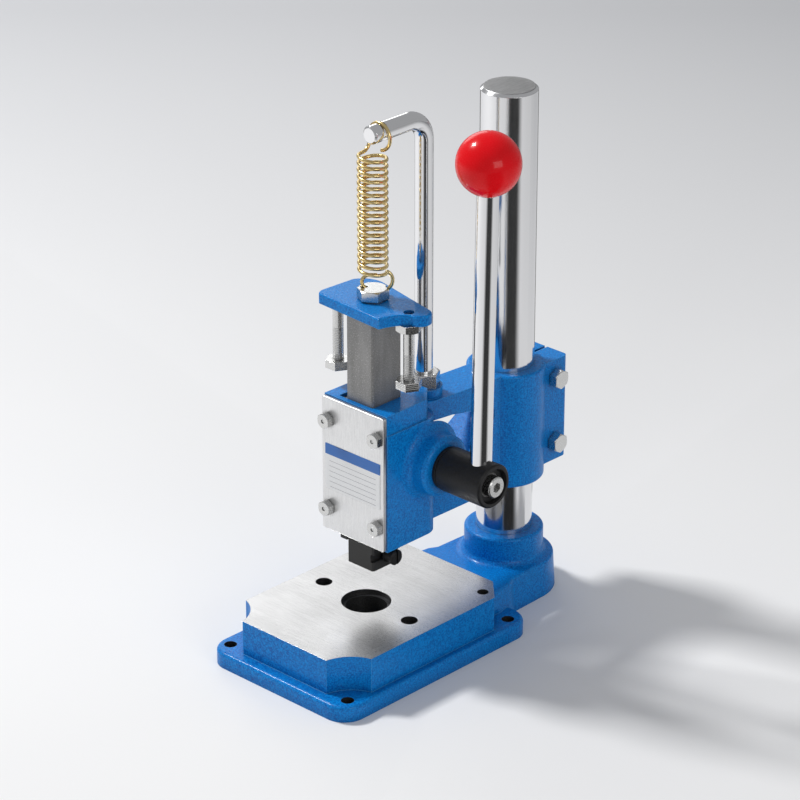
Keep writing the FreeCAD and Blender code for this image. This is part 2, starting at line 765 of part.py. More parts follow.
def make_head():
    body = new_body("head_casting")
    half = d.housing_width / 2
    crown_bottom = housing_top - d.crown_height
    housing = sketch_on(body, "XY_Plane", "housing_outline", out=d.housing_bottom)
    rectangle(housing, -1 * half, half, -1 * d.housing_front, d.housing_back)
    pad(body, housing, crown_bottom - d.housing_bottom)
    rounded(body, d.housing_corner, lambda edge: is_upright(edge) and ends_of(edge)[0].y > 0)
    crown = sketch_on(body, "XY_Plane", "crown_outline", out=crown_bottom)
    step = d.crown_step
    corner = d.housing_corner
    narrow = half - step
    back = d.housing_back
    outline(crown, [
        (step - half, -1 * d.housing_front), (narrow, -1 * d.housing_front),
        (narrow - step, back - corner), (half - corner, back),
        (corner - half, back), (2 * step - half, back - corner)])
    pad(body, crown, d.crown_height)

    # Beam, web and the open triangle between them, seen from the side.
    side = sketch_on(body, "YZ_Plane", "bracket_side")
    inside = d.housing_back - 8
    column_front = d.column_back - collar_diameter / 2
    top_end = beam_top - d.beam_fall
    beam_low = beam_top - d.beam_thickness
    outline(side, [
        (inside, head_bottom + 1), (d.column_back, head_bottom),
        (d.column_back, top_end), (d.arm_back + 20, beam_top - 2.5),
        (inside, beam_top)])
    outline(side, [
        (d.housing_back, head_bottom + d.web_low_rise),
        (column_front, head_bottom + d.web_high_rise),
        (column_front, beam_low - d.beam_fall - 4),
        (d.arm_back + 10, beam_low - 2), (d.housing_back, beam_low)])
    pad(body, side, d.beam_width, both_sides=True)
    beam_half = d.beam_width.value / 2

    def window_corner(edge):
        first, last = ends_of(edge)
        across = abs(first.x + last.x) < 0.01 and abs(abs(first.x) - beam_half) < 0.01
        level = abs(first.y - last.y) < 0.01 and abs(first.z - last.z) < 0.01
        inside_window = (d.housing_back.value - 0.01 < first.y < column_front.value + 0.01
                         and head_bottom.value + 5 < first.z < beam_top.value - 5)
        return across and level and inside_window

    rounded(body, d.window_rounding, window_corner)

    collar = sketch_on(body, "XZ_Plane", "collar_profile", out=-1 * d.column_back)
    radius = collar_diameter / 2
    rim = d.collar_rounding
    diagonal = 1 - math.sqrt(0.5)
    outline(collar, [
        (0, head_bottom), (radius - rim, head_bottom),
        (radius, head_bottom + rim, radius - rim * diagonal, head_bottom + rim * diagonal),
        (radius, collar_top - rim),
        (radius - rim, collar_top, radius - rim * diagonal, collar_top - rim * diagonal),
        (0, collar_top)])
    revolved(body, collar)
    lug = sketch_on(body, "XY_Plane", "clamp_lug", out=lug_bottom)
    lug_half = d.lug_width / 2
    rectangle(lug, -1 * lug_half, lug_half, d.column_back, lug_back)
    pad(body, lug, collar_top - rim - lug_bottom)

    def lug_corner(edge):
        return is_upright(edge) and abs(ends_of(edge)[0].y - lug_back.value) < 0.01

    rounded(body, d.lug_corner, lug_corner)

    arm_boss = sketch_on(body, "XY_Plane", "arm_boss", out=beam_low)
    circle(arm_boss, 0, d.arm_back, d.arm_boss_diameter)
    pad(body, arm_boss, arm_boss_top - beam_low)

    bulge = sketch_on(body, "YZ_Plane", "pinion_bulge")
    circle(bulge, pinion_axis, pinion_height, d.pinion_bulge_diameter)
    pad(body, bulge, 2 * half - 12, both_sides=True)
    boss = sketch_on(body, "XY_Plane", "pinion_boss", up=pinion_axis, out=pinion_height)
    outer = d.pinion_boss_diameter / 2
    rim = d.pinion_boss_rim
    foot = d.pinion_boss_fillet
    outline(boss, [
        (half - 6, 0), (pinion_boss_reach, 0), (pinion_boss_reach, outer - rim),
        (pinion_boss_reach - rim, outer, pinion_boss_reach - rim * diagonal,
         outer - rim * diagonal),
        (half + foot, outer),
        (half, outer + foot, half + foot * diagonal, outer + foot * diagonal),
        (half - 6, outer + foot - 6)])
    revolved(body, boss, axis="H_Axis")

    # Machined openings.
    bore = sketch_on(body, "XY_Plane", "column_bore")
    circle(bore, 0, d.column_back, d.column_diameter + 2 * d.running_gap)
    cut(body, bore)
    slot = sketch_on(body, "XY_Plane", "clamp_slot")
    rectangle(slot, -1 * d.clamp_slot / 2, d.clamp_slot / 2, d.column_back, lug_back + 1)
    cut(body, slot)
    clamp_holes = sketch_on(body, "YZ_Plane", "clamp_bolt_holes")
    for height in (clamp_bolt_lower, clamp_bolt_upper):
        circle(clamp_holes, clamp_bolt_back, height, d.clamp_bolt_diameter + 2 * d.running_gap)
    cut(body, clamp_holes)

    guide = sketch_on(body, "XY_Plane", "guideway", out=d.housing_bottom)
    gib_back = guide_front + d.gib_depth + d.slide_gap
    outline(guide, [
        (-1 * guide_left, guide_front), (gib_side, guide_front), (gib_side, guide_back),
        (-1 * gib_side, guide_back), (-1 * gib_side, gib_back), (-1 * guide_left, gib_back)])
    cut(body, guide)
    window = sketch_on(body, "XZ_Plane", "front_window", out=d.housing_front)
    rectangle(window, d.window_side - guide_left, ram_side - d.window_side,
              d.housing_bottom + d.window_margin, housing_top - d.window_margin)
    cut(body, window, d.front_lip + 1)

    chamber = sketch_on(body, "YZ_Plane", "pinion_chamber", out=-1 * ram_side - 0.5)
    circle(chamber, pinion_axis, pinion_height, 2 * tip_radius + 1)
    cut(body, chamber, 2 * ram_side + 1, reverse=True)
    right_bore = sketch_on(body, "YZ_Plane", "right_bush_bore", out=ram_side + 0.5)
    circle(right_bore, pinion_axis, pinion_height, d.right_bush_diameter)
    cut(body, right_bore, pinion_boss_reach, reverse=True)
    left_bore = sketch_on(body, "YZ_Plane", "left_bush_bore", out=-1 * ram_side - 0.5)
    circle(left_bore, pinion_axis, pinion_height, d.left_bush_diameter)
    cut(body, left_bore, half)

    screw_holes = sketch_on(body, "XZ_Plane", "cover_screw_holes", out=d.housing_front)
    for sign in (-1, 1):
        for height in (cover_screw_lower, cover_screw_upper):
            circle(screw_holes, sign * cover_screw_spacing / 2, height,
                   d.cover_screw_diameter)
    cut(body, screw_holes, d.cover_screw_length)
    gib_holes = sketch_on(body, "YZ_Plane", "gib_screw_holes", out=-1 * guide_left + 1)
    for height in (gib_screw_lower, gib_screw_upper):
        circle(gib_holes, guide_front + d.gib_depth / 2, height, d.gib_screw_diameter)
    cut(body, gib_holes, half)
    arm_hole = sketch_on(body, "XY_Plane", "arm_hole", out=arm_boss_top)
    circle(arm_hole, 0, d.arm_back, d.arm_diameter)
    cut(body, arm_hole, d.arm_seat)
    return body


def make_cover_plate():
    body = new_body("front_cover_plate")
    half = d.housing_width / 2
    face = sketch_on(body, "XZ_Plane", "plate_outline", out=d.housing_front)
    inset = d.plate_inset
    rectangle(face, inset - half, half - inset, d.housing_bottom + inset, housing_top - inset)
    pad(body, face, d.plate_thickness)

    def corners(edge):
        first, last = ends_of(edge)
        return abs(first.y - last.y) > 1e-3

    rounded(body, d.plate_corner, corners)
    rounded(body, d.plate_edge, lambda edge: all(
        abs(point.y - plate_front.value) < 1e-3 for point in ends_of(edge)))
    pad_face = sketch_on(body, "XZ_Plane", "plate_pad", out=d.housing_front)
    gap = d.slide_gap
    rectangle(pad_face, d.window_side - guide_left + gap, ram_side - d.window_side - gap,
              d.housing_bottom + d.window_margin + gap, housing_top - d.window_margin - gap)
    pad(body, pad_face, d.front_lip - gap, reverse=True)
    holes = sketch_on(body, "XZ_Plane", "plate_holes", out=d.housing_front)
    for sign in (-1, 1):
        for height in (cover_screw_lower, cover_screw_upper):
            circle(holes, sign * cover_screw_spacing / 2, height,
                   d.cover_screw_diameter + 0.4)
    cut(body, holes)
    return body


def make_name_plate():
    body = new_body("name_plate")
    sheet_face = sketch_on(body, "XZ_Plane", "label_outline", out=-1 * plate_front)
    half = label_width / 2
    rectangle(sheet_face, -1 * half, half, label_bottom, label_bottom + d.label_height)
    pad(body, sheet_face, d.label_thickness)
    return body


def make_gib():
    body = new_body("gib_strip")
    section = sketch_on(body, "XY_Plane", "gib_section", out=d.gib_bottom)
    gap = d.slide_gap
    rectangle(section, gap - guide_left, -1 * gib_side, guide_front + gap,
              guide_front + d.gib_depth)
    pad(body, section, gib_top - d.gib_bottom)
    return body


def make_bushes():
    right_length = pinion_boss_reach - ram_side - 0.6
    right = ring("right_bush", d.right_bush_diameter,
                 d.right_journal_diameter + 2 * d.running_gap, right_length)
    place(right, ram_side + 0.6, pinion_axis, pinion_height, ALONG_X)
    left_length = d.housing_width / 2 - ram_side - 0.6
    left = ring("left_bush", d.left_bush_diameter,
                d.left_journal_diameter + 2 * d.running_gap, left_length)
    place(left, -1 * ram_side - 0.6, pinion_axis, pinion_height, AGAINST_X)
    return [right, left]


def make_head_fasteners():
    made = []
    cover_screw = hex_screw("cover_screw", d.cover_screw_width, d.cover_screw_head_height,
                            d.cover_screw_diameter, d.cover_screw_length, turn=30)
    dimple = sketch_on(cover_screw, "XY_Plane", "cover_screw_dimple",
                       out=d.cover_screw_head_height)
    circle(dimple, 0, 0, d.cover_screw_width * 0.3)
    cut(cover_screw, dimple, d.cover_screw_head_height * 0.12)
    places = []
    for sign in (-1, 1):
        for height in (cover_screw_lower, cover_screw_upper):
            places.append((sign * cover_screw_spacing / 2, plate_front, height,
                           AGAINST_Y))
    made.append(copies("cover_screws", cover_screw, places))

    clamp_bolt = hex_screw("clamp_bolt", d.clamp_bolt_width, d.clamp_bolt_head,
                           d.clamp_bolt_diameter, d.lug_width + d.clamp_bolt_diameter * 1.1)
    heights = (clamp_bolt_lower, clamp_bolt_upper)
    lug_half = d.lug_width / 2
    made.append(copies("clamp_bolts", clamp_bolt, [
        (lug_half, clamp_bolt_back, height, ALONG_X) for height in heights]))
    clamp_nut = hex_nut("clamp_nut", d.clamp_bolt_width,
                        d.clamp_bolt_diameter * 0.8, d.clamp_bolt_diameter)
    made.append(copies("clamp_nuts", clamp_nut, [
        (-1 * lug_half, clamp_bolt_back, height, AGAINST_X) for height in heights]))

    gib_screw = turned("gib_screw", [
        (0, 0), (d.gib_screw_diameter / 2 - 1, 0), (d.gib_screw_diameter / 2, 1),
        (d.gib_screw_diameter / 2, d.gib_screw_length - 0.5),
        (d.gib_screw_diameter / 2 - 0.5, d.gib_screw_length), (0, d.gib_screw_length)])
    recess = sketch_on(gib_screw, "XY_Plane", "gib_screw_recess", out=d.gib_screw_length)
    hexagon(recess, d.gib_screw_diameter / 2)
    cut(gib_screw, recess, d.gib_screw_diameter / 2)
    gib_y = guide_front + d.gib_depth / 2
    gib_heights = (gib_screw_lower, gib_screw_upper)
    made.append(copies("gib_screws", gib_screw, [
        (d.slide_gap - guide_left, gib_y, height, AGAINST_X) for height in gib_heights]))
    gib_nut = hex_nut("gib_nut", d.gib_nut_width, d.gib_nut_height, d.gib_screw_diameter)
    made.append(copies("gib_lock_nuts", gib_nut, [
        (-1 * d.housing_width / 2, gib_y, height, AGAINST_X) for height in gib_heights]))
    return made


# ---------------------------------------------------------------- rack, pinion and lever


def make_ram():
    body = new_body("ram")
    section = sketch_on(body, "XY_Plane", "ram_section", out=d.ram_bottom)
    rectangle(section, -1 * ram_side, ram_side, ram_front, ram_back)
    pad(body, section, d.ram_top - d.ram_bottom)
    front_edge = ram_front.value

    def front_corner(edge):
        return is_upright(edge) and abs(ends_of(edge)[0].y - front_edge) < 0.01

    chamfered(body, d.ram_chamfer, front_corner)

    # Rack: one 20-degree tooth space cut in the back, then repeated upwards.
    slope = math.tan(math.radians(20))
    pitch_half = rack_pitch / 4 + d.tooth_backlash
    depth = d.rack_addendum + d.pinion_addendum + d.tooth_clearance
    pitch_line = ram_back - d.rack_addendum
    root = ram_back - depth
    mouth = pitch_half + (d.rack_addendum + 0.5) * slope
    floor = pitch_half - (d.pinion_addendum + d.tooth_clearance) * slope
    first_space = pinion_height - rack_pitch * 5.5
    tooth = sketch_on(body, "YZ_Plane", "rack_space", right=0, up=first_space)
    outline(tooth, [(root, -1 * floor), (ram_back + 0.5, -1 * mouth),
                    (ram_back + 0.5, mouth), (root, floor)])
    space = cut(body, tooth, d.ram_width + 2, both_sides=True)
    pattern = body.newObject("PartDesign::LinearPattern", "rack_pattern")
    pattern.Originals = [space]
    pattern.Direction = (tooth, ["V_Axis"])
    put(pattern, "Length", rack_pitch * (d.rack_teeth - 1))
    pattern.Occurrences = int(d.rack_teeth.value)
    body.Tip = pattern
    doc.recompute()

    socket = sketch_on(body, "XY_Plane", "tool_socket", out=d.ram_bottom)
    circle(socket, 0, ram_axis, d.tool_socket_diameter)
    cut(body, socket, d.tool_socket_depth, reverse=True)
    groove = sketch_on(body, "XZ_Plane", "tool_groove")
    rectangle(groove, ram_side - d.tool_groove_depth, ram_side + 1,
              d.tool_groove_bottom, d.tool_groove_bottom + d.tool_groove_height)
    cut(body, groove)
    screw_hole = sketch_on(body, "YZ_Plane", "tool_screw_hole", out=ram_side)
    circle(screw_hole, ram_axis, tool_screw_height, d.tool_screw_diameter)
    cut(body, screw_hole, ram_side)
    thread = sketch_on(body, "XY_Plane", "cap_bolt_thread", out=d.ram_top)
    circle(thread, 0, ram_axis, d.cap_bolt_diameter)
    cut(body, thread, d.cap_bolt_length)
    return body


def make_tool_screw():
    seat = ram_side + d.tool_screw_stand_off
    shank = seat - d.tool_socket_diameter / 2
    head_radius = d.tool_screw_head / 2
    end = d.tool_screw_head_length
    bevel = d.tool_screw_head_length * 0.12
    body = turned("tool_clamp_screw", [
        (0, -1 * shank), (d.tool_screw_diameter / 2, -1 * shank), (d.tool_screw_diameter / 2, 0),
        (head_radius, 0), (head_radius, end - bevel), (head_radius - bevel, end), (0, end)])
    slot = sketch_on(body, "XY_Plane", "tool_screw_slot", out=end)
    half_slot = d.tool_screw_slot / 2
    rectangle(slot, -1 * head_radius - 1, head_radius + 1, -1 * half_slot, half_slot)
    cut(body, slot, d.tool_screw_slot * 1.3)
    return place(body, seat, ram_axis, tool_screw_height, ALONG_X)


def involute_point(base, angle):
    """Point of the involute of a base circle, unwound by that angle."""
    x = base * (math.cos(angle) + angle * math.sin(angle))
    y = base * (math.sin(angle) - angle * math.cos(angle))
    return x, y


def make_pinion_shaft():
    """Pinion cut in one piece with its shaft. Its own Z axis is the shaft's axis and
    its XY plane the middle of the teeth."""
    half_face = d.pinion_face / 2
    left_end = -1 * d.housing_width / 2 - d.end_gap
    shoulder = ram_side + 0.6 - d.end_gap
    root_radius = pitch_radius - d.rack_addendum - d.tooth_clearance
    left_radius = d.left_journal_diameter / 2
    right_radius = d.right_journal_diameter / 2
    seat_radius = d.hub_seat_diameter / 2
    seat_end = hub_end - d.shaft_end_inset
    body = turned("pinion_shaft", [
        (0, left_end), (left_radius, left_end), (left_radius, -1 * shoulder),
        (root_radius, -1 * shoulder), (root_radius, -1 * half_face),
        (tip_radius, -1 * half_face), (tip_radius, half_face), (root_radius, half_face),
        (root_radius, shoulder), (right_radius, shoulder), (right_radius, hub_start),
        (seat_radius, hub_start), (seat_radius, seat_end), (0, seat_end)])

    base = pitch_radius.value * math.cos(math.radians(20))
    teeth = int(d.pinion_teeth.value)
    reach = math.sqrt((tip_radius.value / base) ** 2 - 1)
    pitch_unwind = math.sqrt((pitch_radius.value / base) ** 2 - 1)
    pitch_turn = math.atan2(*reversed(involute_point(base, pitch_unwind)))
    half_tooth = math.pi / 2 / teeth - d.tooth_backlash.value / pitch_radius.value
    offset = pitch_turn + half_tooth

    def flank(unwind, sign):
        x, y = involute_point(base, unwind)
        radius = math.hypot(x, y)
        angle = sign * (offset - math.atan2(y, x))
        return FreeCAD.Vector(radius * math.cos(angle), radius * math.sin(angle), 0)

    def space_flank(unwind, sign):
        """A neighbouring tooth's flank, turned to its side of the space."""
        half_pitch = FreeCAD.Rotation(Z_AXIS, sign * 180.0 / teeth)
        return half_pitch.multVec(flank(unwind, -sign))

    space = sketch_on(body, "XY_Plane", "tooth_space")
    root = root_radius.value
    outside = tip_radius.value + 0.6
    top = {}
    bottom = {}
    for sign in (-1, 1):
        tip = space_flank(reach, sign)
        middle = space_flank(reach * 0.55, sign)
        foot = space_flank(0.0, sign)
        top[sign] = tip
        bottom[sign] = FreeCAD.Vector(foot).normalize() * root
        space.addGeometry(Part.Arc(foot, middle, tip), False)
        space.addGeometry(Part.LineSegment(foot, bottom[sign]), False)
        rim = FreeCAD.Vector(tip).normalize() * outside
        space.addGeometry(Part.LineSegment(tip, rim), False)
        top[sign] = rim
    space.addGeometry(Part.Arc(bottom[-1], FreeCAD.Vector(root, 0, 0), bottom[1]), False)
    space.addGeometry(Part.Arc(top[-1], FreeCAD.Vector(outside, 0, 0), top[1]), False)
    gap = cut(body, space, d.pinion_face, both_sides=True)
    pattern = body.newObject("PartDesign::PolarPattern", "pinion_teeth")
    pattern.Originals = [gap]
    pattern.Axis = (space, ["N_Axis"])
    pattern.Angle = 360
    pattern.Occurrences = teeth
    body.Tip = pattern
    doc.recompute()

    right_thread = sketch_on(body, "XY_Plane", "end_screw_thread", out=seat_end)
    circle(right_thread, 0, 0, d.end_screw_diameter)
    cut(body, right_thread, d.end_screw_length)
    left_thread = sketch_on(body, "XY_Plane", "retainer_screw_thread", out=left_end)
    circle(left_thread, 0, 0, d.retainer_screw_diameter)
    cut(body, left_thread, d.retainer_screw_length, reverse=True)
    return place(body, 0, pinion_axis, pinion_height, ALONG_X)


def make_hub():
    """Black sleeve on the shaft's end that carries the lever. The XY plane is its
    inner face."""
    outer = d.hub_diameter / 2
    bore = d.hub_seat_diameter / 2 + d.seat_gap
    length = d.hub_length
    rim = outer * 0.8
    edge = outer * 0.07
    body = turned("lever_hub", [
        (bore, 0), (outer - edge, 0), (outer, edge), (outer, length - edge),
        (outer - edge, length), (rim, length), (rim - edge, length - d.hub_dish_depth),
        (bore, length - d.hub_dish_depth)])
    hole = sketch_on(body, "YZ_Plane", "lever_hole", up=d.lever_across - hub_start)
    circle(hole, 0, 0, d.lever_diameter + 2 * d.seat_gap)
    cut(body, hole, d.hub_diameter, reverse=False)
    return place(body, hub_start, pinion_axis, pinion_height, LEAN.multiply(ALONG_X))


def make_lever():
    """Lever rod from the shaft to inside the ball, along its own Z axis, which
    starts on the shaft's axis."""
    radius = d.lever_diameter / 2
    foot = d.hub_seat_diameter / 2 + 0.3
    end = d.lever_length - d.ball_diameter / 2 + d.lever_in_ball
    stub = radius * 0.8
    shoulder = d.lever_length - d.ball_diameter / 2 + 1
    body = turned("lever_rod", [(0, foot), (radius, foot), (radius, shoulder),
                                (stub, shoulder), (stub, end), (0, end)])
    return place(body, d.lever_across, pinion_axis, pinion_height, LEAN)


def make_ball():
    """Ball knob about its own centre, with a flat and a blind hole below."""
    radius = d.ball_diameter / 2
    flat = d.ball_flat_diameter / 2
    flat_drop = Size(math.sqrt(radius.value ** 2 - flat.value ** 2),
                     "sqrt(%s ^ 2 - %s ^ 2)" % (radius.text, flat.text))
    rod = d.lever_diameter / 2 + d.seat_gap
    stub = d.lever_diameter * 0.4 + d.seat_gap
    shoulder = -1 * radius + 1
    hole_top = -1 * radius + d.lever_in_ball + 1
    body = turned("ball_knob", [
        (rod, -1 * flat_drop), (flat, -1 * flat_drop), (0, radius, radius, 0),
        (0, hole_top), (stub, hole_top), (stub, shoulder + 0.02), (rod, shoulder + 0.02)])
    lean = math.radians(d.lever_lean.value)
    return place(body, d.lever_across, pinion_axis + d.lever_length * math.sin(lean),
                 pinion_height + d.lever_length * math.cos(lean), LEAN)


def make_shaft_fasteners():
    made = []
    thrust = ring("thrust_washer", d.hub_diameter - 1, d.right_journal_diameter + 0.3,
                  d.thrust_washer_thickness)
    place(thrust, thrust_start, pinion_axis, pinion_height, ALONG_X)
    made.append(thrust)
    end_screw = socket_screw("hub_end_screw", d.end_screw_head, d.end_screw_height,
                             d.end_screw_diameter, d.end_screw_length)
    place(end_screw, hub_end - d.hub_dish_depth, pinion_axis, pinion_height, ALONG_X)
    made.append(end_screw)
    left_end = d.housing_width / 2 + d.end_gap
    retainer = ring("shaft_retaining_washer", d.retainer_diameter,
                    d.retainer_screw_diameter + 0.4, d.retainer_thickness)
    place(retainer, -1 * left_end, pinion_axis, pinion_height, AGAINST_X)
    made.append(retainer)
    screw = socket_screw("shaft_retaining_screw", d.retainer_screw_head, d.retainer_screw_height,
                         d.retainer_screw_diameter, d.retainer_screw_length)
    place(screw, -1 * left_end - d.retainer_thickness, pinion_axis, pinion_height, AGAINST_X)
    made.append(screw)
    return made


# ---------------------------------------------------------------- crosshead and stops


def make_crosshead():
    """Plate bolted on top of the ram; its two ears carry the stop bolts."""
    body = new_body("ram_crosshead")
    face = sketch_on(body, "XY_Plane", "crosshead_outline", out=d.ram_top)
    front = ram_axis - d.crosshead_front
    back = ram_axis + d.crosshead_back
    left = d.crosshead_left
    right = d.crosshead_right
    outline(face, [
        (3 - left, front + 3.2, 0.8 - left, front + 5.3), (right - 15.4, front),
        (right - 6.8, ram_axis - 2.3, right - 12.4, ram_axis - 9.2),
        (right - 5.8, ram_axis + 10.8, right, ram_axis + 3.4),
        (17 - left, back), (1.5 - left, back - 8.3, 7 - left, back - 2),
        (-1 * left, front + 9)])
    pad(body, face, d.crosshead_thickness)
    rounded(body, d.crosshead_edge, lambda edge: at_height(edge, crosshead_top))
    blind = sketch_on(body, "XY_Plane", "left_stop_hole", out=d.ram_top)
    circle(blind, -1 * stop_spacing / 2, ram_axis, d.stop_diameter)
    cut(body, blind, d.crosshead_thickness * 0.75, reverse=True)
    through = sketch_on(body, "XY_Plane", "crosshead_bolt_holes", out=d.ram_top)
    circle(through, stop_spacing / 2, ram_axis, d.stop_diameter)
    circle(through, 0, ram_axis, d.cap_bolt_diameter + 0.2)
    cut(body, through, d.crosshead_thickness + 1, reverse=True)
    return body


def make_cap_bolt():
    """Hexagon bolt that holds the crosshead. A bowed eye through its head takes the
    spring's lower loop."""
    length = d.cap_bolt_length + d.crosshead_thickness + d.cap_washer_thickness - 1
    body = hex_screw("crosshead_bolt", d.cap_bolt_width, d.cap_bolt_height,
                     d.cap_bolt_diameter, length, turn=d.cap_hexagon_turn.value)
    rise = d.spring_eye_rise + d.spring_bow_radius
    eye = sketch_on(body, "YZ_Plane", "spring_eye", up=rise, out=bow_offset())
    circle(eye, d.spring_tight_bend, -1 * d.spring_bow_radius, d.spring_eye_diameter)
    revolved(body, eye, axis="H_Axis", removes=True)
    turn = FreeCAD.Rotation(Z_AXIS, d.cap_bolt_turn.value)
    return place(body, 0, ram_axis, crosshead_top + d.cap_washer_thickness, turn)


def make_crosshead_fasteners():
    made = []
    washer = ring("crosshead_washer", d.cap_washer_diameter, d.cap_bolt_diameter + 0.4,
                  d.cap_washer_thickness)
    place(washer, 0, ram_axis, crosshead_top)
    made.append(washer)

    bolt_top = d.ram_top + d.crosshead_thickness * 0.75
    for side, sign, gap in (("left", -1, 0), ("right", 1, d.spare_stop_gap)):
        head_bottom = housing_top + d.stroke + gap
        body = new_body(side + "_stop_bolt")
        head = sketch_on(body, "XY_Plane", side + "_stop_head")
        hexagon(head, d.stop_head_width)
        pad(body, head, d.stop_head_height)
        shank = sketch_on(body, "XY_Plane", side + "_stop_shank")
        circle(shank, 0, 0, d.stop_diameter)
        pad(body, shank, bolt_top - head_bottom)
        rounded(body, d.stop_head_height * 0.12, lambda edge: at_height(edge, 0))
        made.append(place(body, sign * stop_spacing / 2, ram_axis, head_bottom))
    nut = hex_nut("stop_nut", d.stop_head_width, d.stop_nut_height, d.stop_diameter)
    made.append(copies("stop_lock_nuts", nut, [
        (sign * stop_spacing / 2, ram_axis, d.ram_top, DOWNWARD) for sign in (-1, 1)]))
    return made


# ---------------------------------------------------------------- spring arm and spring


def make_spring_arm():
    """Round bar bent square, that holds the spring's upper hook."""
    body = new_body("spring_arm")
    bottom = arm_boss_top - d.arm_seat
    path = sketch_on(body, "YZ_Plane", "arm_path")
    bend = d.arm_bend
    corner = math.sqrt(0.5)
    points = [(d.arm_back, bottom), (d.arm_back, d.arm_height - bend),
              (d.arm_back - bend, d.arm_height), (d.arm_end, d.arm_height)]
    centre = FreeCAD.Vector(points[1][0].value - bend.value, points[1][1].value, 0)
    middle = centre + FreeCAD.Vector(corner, corner, 0) * bend.value
    path.addGeometry(Part.LineSegment(flat_point(points[0]), flat_point(points[1])), False)
    path.addGeometry(Part.Arc(flat_point(points[1]), middle, flat_point(points[2])), False)
    path.addGeometry(Part.LineSegment(flat_point(points[2]), flat_point(points[3])), False)
    section = sketch_on(body, "XY_Plane", "arm_section", out=bottom)
    circle(section, 0, d.arm_back, d.arm_diameter)
    pipe = body.newObject("PartDesign::AdditivePipe", "arm_pipe")
    pipe.Profile = section
    pipe.Spine = path
    check_change(body, 0.0, True)

    def free_end(edge):
        first, last = ends_of(edge)
        return all(abs(point.y - d.arm_end.value) < 0.01 for point in (first, last))

    chamfered(body, 1, free_end)
    groove = sketch_on(body, "YZ_Plane", "hook_groove", up=d.arm_height)
    radius = d.arm_diameter / 2
    middle_y = d.arm_end + d.hook_groove_inset
    half = d.hook_groove_width / 2
    outline(groove, [(middle_y - half, radius + 1), (middle_y - half, radius - d.hook_groove_depth),
                     (middle_y + half, radius - d.hook_groove_depth), (middle_y + half, radius + 1)])
    revolved(body, groove, axis="H_Axis", removes=True)
    return body


def make_arm_nut():
    nut = hex_nut("spring_arm_nut", d.arm_nut_width, d.arm_nut_height, d.arm_diameter)
    return place(nut, 0, d.arm_back, arm_boss_top)


def half_turn(start, end):
    """An arc of half a circle between two points a coil's width apart, level at both
    ends, so that one half turn runs smoothly into the next."""
    centre = (start + end) * 0.5
    across = (end - start) * 0.5
    level = FreeCAD.Vector(-across.y, across.x, 0).normalize() * across.Length
    return Part.Arc(start, centre + level, end).toShape()


def bow_shape():
    """Sizes of the spring's lower loop in its own plane: u across from the ram's axis,
    z up. The bow's ends, the bend up into the coil and the bend under the coil."""
    side = math.radians(d.spring_bow_angle.value)
    lean = math.radians(d.spring_flare.value)
    tight = d.spring_tight_bend.value
    bow = d.spring_bow_radius.value
    coil = (d.spring_diameter.value - d.spring_wire.value) / 2
    end_z = bow_centre.value - bow * math.cos(side)
    meet_u = coil + tight * math.sin(lean)
    meet_z = d.spring_bottom.value - tight * math.cos(lean)
    rising = (meet_z - end_z) / (math.cos(side) + math.sin(lean))
    right_u = meet_u - rising * (math.cos(lean) - math.sin(side))
    run_z = d.spring_bottom.value - d.spring_wire.value * 1.15
    turning = (run_z - end_z) / (math.cos(side) + 1)
    return side, lean, end_z, right_u, rising, turning, (meet_u, meet_z)


def bow_offset():
    """How far the bow's middle lies from the ram's axis."""
    side, lean, end_z, right_u, rising, turning, meet = bow_shape()
    return right_u - d.spring_bow_radius.value * math.sin(side)


